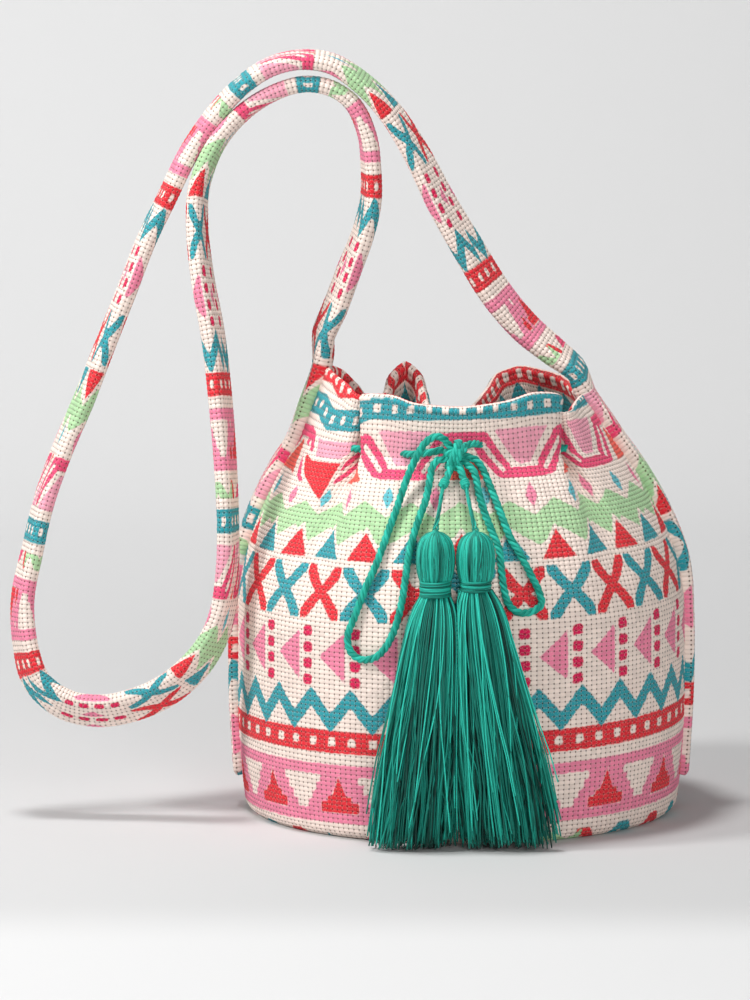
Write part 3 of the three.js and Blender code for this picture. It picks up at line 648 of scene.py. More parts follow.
def printFields(u, v):
    v = v - printed["tilt"] * u
    # The gathers at the left draw the upper bands down a little.
    v = v + 7 * np.clip((-58 - u) / 26, 0, 1) * np.clip((u + 150) / 20, 0, 1) * np.clip((v - 165) / 28, 0, 1)
    ink = {name: np.full(np.shape(u), farOff) for names in inkLayers.values() for name in names}

    def lay(name, shape):
        ink[name] = np.maximum(ink[name], shape)

    def layInTurn(even, odd, copy, shape, oddShape=None):
        lay(even, np.where(copy % 2 == 0, shape, farOff))
        lay(odd, np.where(copy % 2 == 1, shape if oddShape is None else oddShape, farOff))

    # Scraps of the next repeat at the foot.
    x, copy = nearest(u, printed["crossPeriod"], 11)
    scrap = np.minimum(2.9 - np.abs(np.abs(x) - (8.6 - v) * 0.72) * 0.8, within(v, -8, 8.4))
    layInTurn("red", "teal", copy, np.where((u > 62) | (u < -75), scrap, farOff))
    scallop = np.minimum(zigzag(u, v, 22, 46, 2.0, 5, 3.2), within(v, -8, 8))
    lay("mint", np.where((u > 30) & (u < 66), scallop, farOff))
    peaks = np.minimum(zigzag(u, v, 30, 12, -1, 6, 2.8), within(v, -8, 7))
    lay("rose", np.where((u > -66) & (u < 30), peaks, farOff))
    # Stepped triangles in a pink lattice.
    lay("pink", within(v, 13.2, 17.6))
    lay("pink", within(v, 37.8, 43.4))
    x, _ = nearest(u, printed["stepPeriod"], 79)
    stepped = np.maximum(box(x, v - 21.4, 11.8, 2.9), box(x, v - 25.2, 7.4, 2.2))
    stepped = np.maximum(stepped, upTriangle(x, v - 25, 5.4, 12.6))
    lay("red", stepped)
    valley, _ = nearest(u, printed["stepPeriod"], 79 + printed["stepPeriod"] / 2)
    cream = np.maximum(box(valley, v - 36.4, 12.8, 2.6), box(valley, v - 31.6, 9.8, 2.8))
    cream = np.maximum(cream, np.maximum(box(valley, v - 27, 6.8, 2.6), box(valley, v - 22.6, 3.8, 2.6)))
    lay("pink", np.minimum(within(v, 17, 38.4), -np.maximum(cream, stepped)))
    # Red band with cream squares.
    lay("red", squareBand(u, v, 49.3, 60.7, 1.5))
    # Teal zigzag.
    lay("teal", zigzag(u, v, printed["wavePeriod"], -10.2, 70.9, 6.6, 3.35))
    # Columns of dots with triangles that point left.
    x, _ = nearest(u, printed["dotPeriod"], 1.8)
    for row in range(4):
        y = v - 85.6 - row * 8.15
        lay("magenta", np.minimum(box(x, y, 3.0, 2.7), 3.4 - np.hypot(x, y)))
    x, _ = nearest(u, printed["dotPeriod"], 1.8 + 15.4)
    lay("pink", upTriangle(v - 97.8, 7.8 - x, 12.6, 15.6))
    # Crosses in two colours. Their arms bend a little.
    x, copy = nearest(u, printed["crossPeriod"], 31)
    y = np.clip(np.abs(v - 129.9) / 13.2, 0, 1)
    arm = 11.9 * y**0.8
    cross = np.minimum(3.1 - np.abs(np.abs(x) - arm) * 0.76, 13.6 - np.abs(v - 129.9))
    layInTurn("red", "teal", copy, cross)
    # Small triangles in two colours.
    x, copy = nearest(u, printed["crossPeriod"] - 0.6, 0)
    small = upTriangle(x, v - 146.8, 10.4, 15.6)
    layInTurn("red", "teal", copy, small)
    # Broad mint zigzag with slim diamonds in its valleys.
    x, _ = nearest(u, 28.7, 0)
    rise = 171.5 - np.abs(x) * 0.62
    mint = np.minimum(7.4 - np.abs(v - rise) * 0.9, -np.maximum(small + 2.0, within(v, 140, 147.5)))
    x, copy = nearest(u, 28.7, 14.35)
    diamond = np.minimum(9, (1 - np.abs(x) / 3.9 - np.abs(v - 182) / 7.6) * 3.4)
    lay("mint", np.minimum(mint, -(diamond + 1.4)))
    layInTurn("sky", "pink", copy, diamond - 0.2, diamond)
    # Double line that steps up and down, with fillings above and below it.
    x, _ = nearest(u, printed["archPeriod"], 43)
    x = np.abs(x)
    double = 5.9 - fromLine(x, v, (15.5, 198.6), (27, 212.6))
    for start, end in (((0, 195.4), (13, 195.4)), ((31, 215.4), (40, 215.4))):
        double = np.maximum(double, 3.1 - fromLine(x, v, start, end))
    slit = 1.45 - fromLine(x, v, (14.6, 197.4), (26.4, 211.8))
    lay("rose", np.minimum(double, -slit))
    blob = upTriangle(x, 219.8 - v, 20, 25) - 0.6
    lay("blush", np.minimum(blob, -(double + 2.0)))
    x, _ = nearest(u, printed["archPeriod"], 3)
    lay("coral", np.minimum(upTriangle(x, v - 192.2, 14.5, 20), -(double + 1.6)))
    # A red dart at the left, with nothing close to it.
    dart = np.minimum(np.minimum(207 - v, -104 - u), ((v - 207) + (u + 142) * 0.7) / 1.22)
    for name in ("blush", "rose", "coral"):
        ink[name] = np.minimum(ink[name], -(dart + 2.6))
    lay("red", dart)
    # Teal band with cream squares at the rim.
    lay("teal", squareBand(u, v, 224.6, 236.0, 3.0))
    # Turned inside: a red band with cream squares, then a teal zigzag.
    lay("red", squareBand(u, v, 242.0, 252.6, 0.0, 2.7))
    lay("teal", zigzag(u, v, printed["wavePeriod"], 0.0, 264.0, 6.0, 4.6))
    full = np.ones(np.shape(u))
    return {
        layer: np.stack([*(ink[name] for name in names), full], axis=-1).reshape(-1, 4)
        for layer, names in inkLayers.items()
    }


# The gathered body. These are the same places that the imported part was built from.
body = {
    "bellyRadius": 113.5,
    "footRadius": 110,
    "cornerRadius": 7,
    "bellyLow": 60,
    "bellyHigh": 100,
    "neckHeight": 189,
    "neckHalf": (80, 71),
    "mouthHalf": (72, 72),
    "mouthHeight": 211,
    "mouthLean": -2.5,
    "pinchCurve": 1.9,
    "thickness": 2.2,
    "seamGap": 0.35,
    "stitchesRound": 230,
    "stitchHeight": 2.35,
    "knob": 0.5,  # how far the stitches stand out of the cloth
    "rimRows": 22,
    "hem": 60,  # how much of the cloth's print is turned to the inside
}
# Neck place, mouth place and the rim's rise, from the front centre round by the right.
stations = [
    (0, -1, 0, -1, 2),
    (0.3, -0.96, 0.3, -0.96, 4),
    (0.52, -0.86, 0.55, -0.85, 8),
    (0.64, -0.77, 0.71, -0.7, 6),
    (0.6, -0.56, 0.65, -0.48, -6),
    (0.73, -0.67, 0.78, -0.56, -4),
    (0.93, -0.36, 0.86, -0.3, 0),
    (1, 0, 0.9, 0, 0),
    (0.96, 0.36, 0.85, 0.35, 1),
    (0.8, 0.68, 0.72, 0.66, 4),
    (0.56, 0.9, 0.52, 0.88, 5),
    (0.37, 0.88, 0.32, 0.82, 3),
    (0.25, 0.6, 0.2, 0.5, -3),
    (0.16, 0.28, 0.12, 0.12, -6),
    (0.07, 0, 0.04, -0.18, -8),
    (-0.03, -0.08, -0.05, -0.26, -9),
    (-0.12, 0, -0.15, -0.18, -7),
    (-0.19, 0.22, -0.21, 0.06, 1),
    (-0.25, 0.46, -0.26, 0.26, 9),
    (-0.36, 0.56, -0.36, 0.34, 13),
    (-0.47, 0.46, -0.47, 0.24, 8),
    (-0.54, 0.28, -0.53, 0.06, -1),
    (-0.61, 0.22, -0.6, 0.02, -3),
    (-0.71, 0.3, -0.69, 0.14, 3),
    (-0.85, 0.36, -0.8, 0.26, 9),
    (-0.97, 0.22, -0.9, 0.2, 12),
    (-1, 0, -0.93, 0, 14),
    (-0.97, -0.24, -0.88, -0.22, 12),
    (-0.86, -0.5, -0.79, -0.42, 9),
    (-0.7, -0.66, -0.68, -0.56, 4),
    (-0.55, -0.58, -0.57, -0.54, 3),
    (-0.6, -0.79, -0.67, -0.73, 6),
    (-0.47, -0.88, -0.5, -0.87, 7),
    (-0.25, -0.97, -0.25, -0.97, 3),
]
rightSide, leftSide = 7, 26
stations = np.array(stations, float)
stationCount = len(stations)


def stationAngles():
    # How far round the even belly the cloth of each neck place starts.
    places = stations[:, :2] * body["neckHalf"]
    spans = np.linalg.norm(np.roll(places, -1, axis=0) - places, axis=1)
    reach = np.concatenate([[0], np.cumsum(spans)])
    pins = [0, rightSide, leftSide, stationCount]
    return np.interp(reach, reach[pins], [0, fullTurn / 4, fullTurn * 3 / 4, fullTurn])


clothAngles = stationAngles()


def stationAt(angle):
    return np.interp(angle % fullTurn, clothAngles, np.arange(stationCount + 1)) / stationCount


def angleOf(t):
    return np.interp((t % 1.0) * stationCount, np.arange(stationCount + 1), clothAngles)


def uprightRadius(height):
    corner, foot, belly = body["cornerRadius"], body["footRadius"], body["bellyRadius"]
    rounded = foot - corner + np.sqrt(np.maximum(0, corner**2 - (corner - height) ** 2))
    share = (body["bellyLow"] - height) / (body["bellyLow"] - corner)
    lower = belly - (belly - foot) * share**2
    return np.where(height < corner, rounded, np.where(height < body["bellyLow"], lower, belly))


def wallPoint(t, height):
    # A place on the outside of the wall: t is the share of the way round the stations.
    t, height = np.broadcast_arrays(np.asarray(t, float), np.asarray(height, float))
    shape = t.shape
    t, height = t.ravel(), height.ravel()
    angle = angleOf(t)
    radius = uprightRadius(height)
    low = np.stack([radius * np.sin(angle), -radius * np.cos(angle), height], axis=1)
    neckPlaces = np.column_stack([stations[:, :2], np.zeros(stationCount)])
    neck = curveThrough(neckPlaces, t, closed=True)
    neck[:, 0] = body["mouthLean"] + neck[:, 0] * body["neckHalf"][0]
    neck[:, 1] *= body["neckHalf"][1]
    span = body["neckHeight"] - body["bellyHigh"]
    pinch = np.clip((height - body["bellyHigh"]) / span, 0, 1) ** body["pinchCurve"]
    low[:, :2] += (neck[:, :2] - low[:, :2]) * pinch[:, None]
    low[:, 2] = np.minimum(height, body["neckHeight"])
    mouth = curveThrough(stations[:, 2:], t, closed=True)
    mouth[:, 0] = body["mouthLean"] + mouth[:, 0] * body["mouthHalf"][0]
    mouth[:, 1] *= body["mouthHalf"][1]
    mouth[:, 2] += body["mouthHeight"]
    above = np.maximum(0, (height - body["neckHeight"]) / (body["mouthHeight"] - body["neckHeight"]))
    return (low + (mouth - low) * above[:, None]).reshape(*shape, 3)


def insetPoint(t, height, depth):
    # The same place, moved into the bag square to the wall.
    top = np.minimum(height + 1, body["mouthHeight"])
    low = np.maximum(height - 1, 0)
    along = wallPoint(t + 0.004, height) - wallPoint(t - 0.004, height)
    rise = wallPoint(t, top) - wallPoint(t, low)
    out = unit(np.cross(along, rise))
    depth = np.asarray(depth, float)
    return wallPoint(t, height) - out * (depth[..., None] if depth.ndim else depth)


# Columns start at the back seam, so that the print meets there.
columns = body["stitchesRound"] * 2
columnAngle = np.arange(columns) / columns * fullTurn + math.pi
columnT = stationAt(columnAngle)
clothU = (np.arange(columns + 1) / columns - 0.5) * fullTurn * body["bellyRadius"]


def heightsUpFront():
    # Heights a half stitch apart up the even wall, to the neck.
    fine = np.linspace(0, body["neckHeight"], 1200)
    reach = lengthsAlong(wallPoint(np.zeros(len(fine)), fine))
    count = int(round(reach[-1] / body["stitchHeight"])) * 2
    marks = np.linspace(0, reach[-1], count + 1)
    return np.interp(marks, reach, fine), marks


wallHeights, wallMarks = heightsUpFront()


def withStitches(points, rows, amount):
    # Lifts the middle of each stitch and sinks the corners between stitches.
    along = unit(np.roll(points, -1, axis=1) - np.roll(points, 1, axis=1))
    up = unit(np.gradient(points, axis=0))
    out = unit(np.cross(along, up))
    column = np.abs(np.sin(np.arange(points.shape[1]) * math.pi / 2))
    row = np.abs(np.sin(rows * math.pi / 2))
    lift = amount * (column[None, :] * 0.4 + row[:, None] * 0.6)
    return points + out * (lift - amount * 0.25)[..., None]


def makeWall():
    rimHeights = np.linspace(body["neckHeight"], body["mouthHeight"], body["rimRows"] + 1)[1:]
    heights = np.concatenate([wallHeights, rimHeights])
    outer = wallPoint(columnT[None, :], heights[:, None])
    rim = outer[len(wallMarks) - 1 :]
    climb = wallMarks[-1] + np.cumsum(np.linalg.norm(np.diff(rim, axis=0), axis=2), axis=0)
    marks = np.vstack([np.repeat(wallMarks[:, None], columns, axis=1), climb])
    rimMark = marks[-1]
    outer = withStitches(outer, np.arange(len(heights)), body["knob"])
    innerHeights = np.concatenate([
        np.linspace(body["mouthHeight"], body["neckHeight"], 5),
        np.linspace(body["neckHeight"], body["bellyHigh"], 8)[1:],
        [body["bellyLow"], body["cornerRadius"]],
    ])
    inner = insetPoint(columnT[None, :], innerHeights[:, None], body["thickness"] - 0.3)
    crest = (outer[-1:] + inner[:1]) / 2 + (0, 0, 0.3)
    foot = body["footRadius"] - body["cornerRadius"]
    hem = np.stack(
        [foot * np.sin(columnAngle), -foot * np.cos(columnAngle), np.full(columns, body["thickness"])], axis=1
    )
    points = np.concatenate([outer, crest, inner, hem[None]])
    marks = np.vstack([marks, np.linspace(1, body["hem"], len(inner) + 2)[:, None] + rimMark])
    fields = printFields(np.repeat(clothU[None, :columns], len(points), axis=0), marks)
    maps = clothMaps(clothU, np.hstack([marks, marks[:, :1]]), True)
    faces = [ringFaces(len(points), columns, loopRows=True)]
    piece = makePiece("bagWall", points.reshape(-1, 3), faces, canvasCloth, maps, fields)
    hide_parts("bag_body")
    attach(piece, "bag")
    return rimMark


facing = {
    "thickness": 1.0,
    "slack": 1.2,
    "depth": 36,
    "rows": 32,
    "knob": 0.4,
    "roll": [(-0.25, -1.6), (-0.35, 0.1), (0.3, 1.4), (1.6, 2.1), (3.0, 1.6), (3.7, 0.4)],  # inset and lift
    "crestMark": 243,  # where these lines of the cloth's print come to lie
    "insideMark": 246.2,
    "hiddenMark": 240.0,
}


def makeFacing(rimMark):
    heights = np.linspace(body["mouthHeight"], body["mouthHeight"] - facing["depth"], facing["rows"])
    slack = facing["slack"] * np.clip((body["mouthHeight"] - heights) / 5, 0, 1)
    depth = (body["thickness"] + body["seamGap"] + slack)[:, None] * np.ones(columns)
    outer = insetPoint(columnT[None, :], heights[:, None], depth)
    inner = insetPoint(columnT[None, :], heights[:, None], depth + facing["thickness"])
    inner = withStitches(inner, np.arange(len(heights)), facing["knob"])
    # The rim rolls over: outside lip, crest and inner shoulder.
    top = np.full(columns, body["mouthHeight"])
    roll = np.stack([insetPoint(columnT, top, inset) + (0, 0, lift) for inset, lift in facing["roll"]])
    roll = withStitches(roll, np.arange(len(roll)), facing["knob"])
    points = np.concatenate([roll, inner[1:], outer[:0:-4]])
    over = np.linspace(0, 1, len(roll))[:, None]
    rollMarks = np.where(over < 0.5, rimMark + over * 4, facing["crestMark"] + (over - 0.6) * 7.5)
    spans = facing["insideMark"] + np.cumsum(np.linalg.norm(np.diff(inner, axis=0), axis=2), axis=0)
    hidden = np.full((len(points) - len(roll) - len(spans), columns), facing["hiddenMark"])
    marks = np.vstack([rollMarks, spans, hidden])
    u = np.repeat(clothU[None, :columns], len(points), axis=0)
    level = marks + printed["tilt"] * u  # inside, the print follows the rim and not the tilted bands
    level[: len(roll)] -= (printed["tilt"] * u)[: len(roll)] * (1 - over)
    maps = clothMaps(clothU, np.hstack([marks, marks[:, :1]]), True)
    faces = [ringFaces(len(points), columns, loopRows=True)]
    fields = printFields(u, level)
    piece = makePiece("mouthFacing", points.reshape(-1, 3), faces, canvasCloth, maps, fields)
    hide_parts("rim_facing")
    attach(piece, "bag")


makeFacing(makeWall())
print("wall and facing made")


lining = {"thickness": 0.8, "slack": 0.9, "gather": 4, "boardTop": 5.15, "columns": 204, "rumple": 0.5}


def makeLining():
    count = lining["columns"]
    angle = np.arange(count) / count * fullTurn
    t = stationAt(angle)
    floorTop = lining["boardTop"] + body["seamGap"] + lining["thickness"]
    low = floorTop + body["seamGap"]
    belly, high = body["bellyHigh"], body["mouthHeight"] - facing["depth"] - 2 * body["seamGap"]
    heights = np.concatenate([np.linspace(low + 8, belly, 14), np.linspace(belly, high, 14)[1:]])
    # It hangs a little looser from just under the gathers up.
    gather = np.clip((heights - belly) / 12 + 1, 0, 1)
    depth = body["thickness"] + body["seamGap"] + lining["slack"] + (lining["gather"] - lining["slack"]) * gather
    rumple = lining["rumple"] * (np.sin(angle * 23)[None, :] + np.sin(angle * 9 + heights[:, None] / 11)) / 2
    depth = depth[:, None] + rumple + lining["rumple"]
    outer = insetPoint(t[None, :], heights[:, None], depth)
    inner = insetPoint(t[None, :], heights[:, None], depth + lining["thickness"])
    foot = body["footRadius"] - body["cornerRadius"] + lining["slack"]
    rings = []
    for inset in (0, lining["thickness"]):
        radius = foot - inset
        rings.append(np.stack([radius * np.sin(angle), -radius * np.cos(angle), np.full(count, low)], axis=1))
    points = np.concatenate([rings[0][None], outer, inner[::-1], rings[1][None]])
    faces = [ringFaces(len(points), count, loopRows=True)]
    piece = makePiece("liningWall", points.reshape(-1, 3), faces, liningCotton)
    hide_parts("lining_wall")
    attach(piece, "bag")


def discPoints(radius, low, high, rings, count, lift):
    # A closed disc of two faces. lift gives the upper face's small waves.
    angle = np.arange(count) / count * fullTurn
    radii = np.linspace(0, radius, rings + 1)[1:]
    x = radii[:, None] * np.sin(angle)
    y = -radii[:, None] * np.cos(angle)
    top = np.stack([x, y, high + lift(x, y)], axis=2)
    bottom = np.stack([x, y, np.full_like(x, low)], axis=2)
    points = np.concatenate([top, bottom[::-1]])
    faces = [ringFaces(len(points), count)]
    flat = points.reshape(-1, 3)
    last = len(flat)
    faces.append(capFan(np.arange(count), last, flip=True))
    faces.append(capFan(np.arange(count) + (len(points) - 1) * count, last + 1))
    flat = np.vstack([flat, [0, 0, high], [0, 0, low]])
    return flat, faces


def discMaps(points, faces, scale):
    flat = np.concatenate([np.asarray(f).ravel() for f in faces])
    return {"cloth": points[flat, :2], "stitch": points[flat, :2] / scale}


def makeFloors():
    radius = body["footRadius"] - body["cornerRadius"]
    low = lining["boardTop"] + body["seamGap"]
    wave = lambda x, y: 0.25 * np.sin(x / 9) * np.sin(y / 13)
    points, faces = discPoints(radius + lining["slack"], low, low + lining["thickness"], 24, 120, wave)
    floor = makePiece("liningFloor", points, [f[:, ::-1] for f in faces], liningCotton)
    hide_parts("lining_base")
    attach(floor, "bag")
    flat = lambda x, y: 0.0 * x
    points, faces = discPoints(radius - body["seamGap"], 0, body["thickness"], 40, 160, flat)
    faces = [f[:, ::-1] for f in faces]
    pitch = fullTurn * body["bellyRadius"] / body["stitchesRound"]
    maps = discMaps(points, faces, (pitch, body["stitchHeight"]))
    fields = printFields(points[:, 0], points[:, 1] + 100)
    panel = makePiece("basePanel", points, faces, canvasCloth, maps, fields)
    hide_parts("base_panel")
    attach(panel, "bag")
    board = frame["nodes"]["base_board"]
    board.data.materials.clear()
    board.data.materials.append(boardCard)


makeLining()
makeFloors()
print("lining and base made")


strap = {
    "width": 21,
    "thickness": 8,
    "sewn": 4.4,
    "foot": 16,
    "setBack": 4,
    "bridge": 1.6,
    "columns": 38,
    "stitchHeight": 2.35,
    "knob": 0.3,
    "endRound": 3.0,
    "towardsWall": 2.2,  # how much thicker a sewn run is on its inner face, to meet the wall
    "printAcross": 2.1,  # the folds draw the print together across the band
    "printLength": 1174,  # the free length that the two lines below are measured on
    "printStart": 20.0,
    "printRepeat": 248.0,
    "firstRedBand": 98.0,  # along the strap from the left rim
}
# Offsets from the left of the belly and the height of the mouth, and the band's roll in degrees.
strapRoute = [
    (43.5, 3, 31, 16), (49.5, 2, 45, 20), (56.5, 1, 64, 18), (63.5, 0, 82.5, 14),
    (67.5, 0, 100, 12), (67.5, 0, 116.5, 10), (65.5, 0, 133, 8), (58.5, 0, 148.5, 6),
    (47.5, 0, 156.5, 5), (33, 0, 158.5, 5), (17, -1, 153.5, 6), (2, -3, 143.5, 8),
    (-11, -6, 128, 10), (-19, -10, 107.5, 12), (-20, -14, 89, 12), (-17.5, -20, 64.5, 14),
    (-12, -26, 34.5, 16), (-8.5, -32, 5, 16), (-6, -37, -25, 14), (-4.5, -41, -55.5, 12),
    (-4.5, -42, -77.5, 14), (-6.5, -43, -101, 22), (-11.5, -43, -117, 30), (-20.5, -42, -131, 40),
    (-34.5, -39, -144, 46), (-50.5, -37, -152, 48), (-69, -35, -156, 48), (-87.5, -32, -153, 44),
    (-101.5, -30, -141.5, 34), (-107, -28, -124.5, 24), (-108.5, -26, -100.5, 18), (-103.5, -24, -75.5, 14),
    (-97.5, -22, -50.5, 12), (-88.5, -20, -25.5, 12), (-77.5, -17, 0, 12), (-66.5, -14, 28, 10),
    (-55.5, -12, 55.5, 9), (-45.5, -9, 81, 8), (-35, -7, 102.5, 8), (-25, -5, 123, 8),
    (-12, -3, 142.5, 6), (3, -2, 158.5, 4), (17, -1, 167.5, 4), (32, 0, 171, 4),
    (47.5, 0, 169, 6), (62.5, 0, 159.5, 10), (77.5, 0, 144, 16), (90.5, 0, 123.5, 22),
    (102.5, 0, 100, 30), (115.5, 0, 77.5, 36), (130.5, 0, 53, 38), (145.5, 1, 35, 34),
    (159.5, 1, 23, 26), (171.5, 2, 13, 14),
]


def sideReach(side, height):
    t = (1 + side / stationCount + 0.12 * np.arange(-48, 49) / 48) % 1
    places = wallPoint(t, np.full(len(t), height))
    near = np.abs(places[:, 1] - strap["setBack"]) < strap["width"] / 2 + 1
    return np.abs(places[near, 0]).max()


def sewnRun(side, sign):
    mouth, neck = body["mouthHeight"], body["neckHeight"]
    pinched = [body["bellyHigh"] + (neck - body["bellyHigh"]) * share for share in (0.3, 0.52, 0.7, 0.86)]
    heights = [strap["foot"], body["bellyLow"], body["bellyHigh"], *pinched, neck, (neck + mouth) / 2, mouth]
    rows = []
    for height in heights:
        stand = body["seamGap"] + strap["sewn"] / 2 + (strap["bridge"] if height > body["bellyHigh"] else 0)
        level = wallPoint(side / stationCount, height)[2]
        rows.append((sign * (sideReach(side, height) + stand), strap["setBack"], level, 0, strap["sewn"]))
    return rows


def bandOutline(halfWidth, halfThick, count):
    # Even points round a flat band with rounded edges, from the middle of the outer face.
    corner = halfThick * 0.92
    bend = np.linspace(0, fullTurn / 4, 12)
    arcs = []
    for signW, signH, turn in ((1, -1, -1), (1, 1, 0), (-1, 1, 1), (-1, -1, 2)):
        angle = bend + turn * fullTurn / 4
        middle = (signW * (halfWidth - corner), signH * (halfThick - corner))
        arcs.append(np.stack([middle[0] + corner * np.cos(angle), middle[1] + corner * np.sin(angle)], axis=1))
    outline = np.concatenate([[[0, -halfThick]], *arcs, [[0, -halfThick]]])
    reach = lengthsAlong(outline)
    marks = np.linspace(0, reach[-1], count + 1)
    places = np.stack([np.interp(marks[:-1], reach, outline[:, k]) for k in (0, 1)], axis=1)
    return places, marks


def makeStrap():
    count = strap["columns"]
    left = sewnRun(leftSide, -1)
    right = sewnRun(rightSide, 1)[::-1]
    raised = [(x - body["bellyRadius"], y, z + body["mouthHeight"], turn, strap["thickness"])
              for x, y, z, turn in strapRoute]
    route = np.array([*left, *raised, *right], float)
    fine = np.linspace(0, 1, len(route) * 30)
    reach = lengthsAlong(curveThrough(route[:, :3], fine))
    marks = np.linspace(0, reach[-1], int(reach[-1] / strap["stitchHeight"]) * 2 + 1)
    share = np.interp(marks, reach, fine)
    line = curveThrough(route[:, :3], share)
    place = share * (len(route) - 1)
    turn = np.radians(np.interp(place, np.arange(len(route)), route[:, 3]))
    thick = np.interp(place, np.arange(len(route)), route[:, 4])
    way = unit(np.gradient(line, axis=0))
    edgeOn = unit(np.array([[0.0, 1.0, 0.0]]) - way * way[:, 1:2])
    faceOn = np.cross(way, edgeOn)
    across = edgeOn * np.cos(turn)[:, None] + faceOn * np.sin(turn)[:, None]
    through = np.cross(across, way)
    # The band is thin and flat where it is sewn down, and full where it runs free.
    flat, _ = bandOutline(strap["width"] / 2, strap["sewn"] / 2, count)
    full, around = bandOutline(strap["width"] / 2, strap["thickness"] / 2, count)
    free = ((thick - strap["sewn"]) / (strap["thickness"] - strap["sewn"]))[:, None]
    section = flat[None] + (full - flat)[None] * free[..., None]
    sewn = np.clip(1 - free, 0, 1)
    section[..., 1] *= np.where(section[..., 1] > 0, 1 + strap["towardsWall"] * sewn, 1)
    ends = np.minimum(marks, reach[-1] - marks)
    close = np.sqrt(np.clip(ends / strap["endRound"], 0.02, 1))[:, None, None]
    section = section * np.concatenate([0.5 + close / 2, close], axis=2)
    points = line[:, None] + across[:, None] * section[..., :1] + through[:, None] * section[..., 1:]
    points = withStitches(points[:, ::-1], np.arange(len(line)), strap["knob"])
    leftRim = np.interp((len(left) - 1) / (len(route) - 1), fine, reach)
    rightRim = np.interp((len(left) + len(raised)) / (len(route) - 1), fine, reach)
    print("strap free length", round(rightRim - leftRim, 1), "whole", round(reach[-1], 1))
    # The print runs down the strap from the left rim, and starts anew after each repeat.
    s = (marks - leftRim) * strap["printLength"] / (rightRim - leftRim)
    v = (55 + (strap["firstRedBand"] - s) * printed["repeat"] / strap["printRepeat"]) % printed["repeat"]
    columnsU = (around[::-1] - around[-1] / 2) * strap["printAcross"] + strap["printStart"]
    u = np.repeat(columnsU[None, :-1], len(line), axis=0)
    fields = printFields(u, v[:, None] + printed["tilt"] * u)
    fields = {layer: np.vstack([values, values[[0, -1]]]) for layer, values in fields.items()}
    last = len(line) * count
    lastRing = last - count + np.arange(count)
    caps = np.concatenate([capFan(np.arange(count), last, flip=True), capFan(lastRing, last + 1)])
    maps = clothMaps(around, np.repeat(marks[:, None], count + 1, axis=1))
    capCorners = np.zeros((len(caps) * 3, 2))
    maps = {"cloth": np.vstack([maps["cloth"], capCorners]), "stitch": np.vstack([maps["stitch"], capCorners + 0.5])}
    points = np.vstack([points.reshape(-1, 3), line[0], line[-1]])
    faces = [ringFaces(len(line), count), caps]
    piece = makePiece("shoulderStrap", points, faces, canvasCloth, maps, fields)
    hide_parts("shoulder_strap")
    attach(piece, "bag")


makeStrap()
print("strap made")


# Tassels of cotton yarn: a padded ball, a wrapped waist and a skirt of loose strands.
tassel = {
    "strand": 0.42,
    "ballStrands": 190,
    "wraps": 6.5,
    "wrapRadius": 7.45,
    "wrapYarn": 0.52,
    "waistRadius": 7.1,
    "threadYarn": 0.5,
    "threadLay": 27.5,  # one turn of the four yarns of the thread
    "clumps": 92,
    "strandsInClump": 6,
    "strays": 12,
    "skirtEnd": 1.2,  # height of the lowest ends
    "skirtsMeet": -3.7,  # where the two skirts press against each other
    "left": {"head": -14, "skirtAt": -25, "skirtHalf": 20.8, "splayed": 8},
    "right": {"head": 5.9, "skirtAt": 20.6, "skirtHalf": 22.4, "splayed": 20},
}
ballProfile = [
    (0.6, 1.03), (1.5, 0.99), (4.3, 0.95), (6.7, 0.87), (8.3, 0.75), (9.1, 0.6), (9.35, 0.45),
    (9.2, 0.3), (8.8, 0.16), (8.1, 0.04), (7.3, -0.05),
]
skirtSpread = [(0, 0.36), (0.05, 0.52), (0.12, 0.63), (0.25, 0.73), (0.45, 0.83), (0.68, 0.92), (0.86, 0.98), (1, 1)]
goldenShare = 0.618034  # spreads clumps evenly round the waist


def frontDepth(x, height):
    t = np.linspace(-0.09, 0.09, 61) % 1
    places = wallPoint(t, np.full(len(t), height))
    return np.interp(x, places[:, 0], places[:, 1])


def nodeBox(name):
    low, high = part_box(name)
    return np.array(low) / mm, np.array(high) / mm


def woundLine(centre, radius, angle, height):
    return np.stack([centre[0] + radius * np.cos(angle), centre[1] + radius * np.sin(angle), height], axis=1)


def makeTasselPiece(kind, side, bundle):
    node = f"tassel_{kind.lower()}_{side}"
    name = {"Head": "Ball"}.get(kind, kind)
    makeBundle(f"tassel{name}_{side}", bundle, tasselYarn, "tassel_yarn", f"tassel_{side}", node)


def makeBall(side):
    chance = random.Random(f"ball {side}")
    low, high = nodeBox(f"tassel_head_{side}")
    profile = np.array([(r, 0, share) for r, share in ballProfile])
    curve = curveThrough(profile, np.linspace(0, 1, 18))
    height = low[2] + (high[2] - low[2]) * curve[:, 2]
    bundle = newBundle()
    for layer, count in ((1.0, tassel["ballStrands"]), (0.965, tassel["ballStrands"] // 2)):
        for i in range(count):
            angle = fullTurn * (i + chance.uniform(-0.4, 0.4)) / count
            swirl = chance.uniform(-0.2, 0.2) + (chance.uniform(-0.7, 0.7) if chance.random() < 0.15 else 0)
            radius = curve[:, 0] * layer * chance.uniform(0.985, 1.02)
            line = woundLine((low + high) / 2, radius, angle + swirl * np.linspace(0, 1, len(curve)), height)
            thick = tassel["strand"] * (0.8 if layer == 1 else 1.2)
            addTube(bundle, line, thick, 5, chance.uniform(0.15, 0.95) * layer)
    makeTasselPiece("Head", side, bundle)


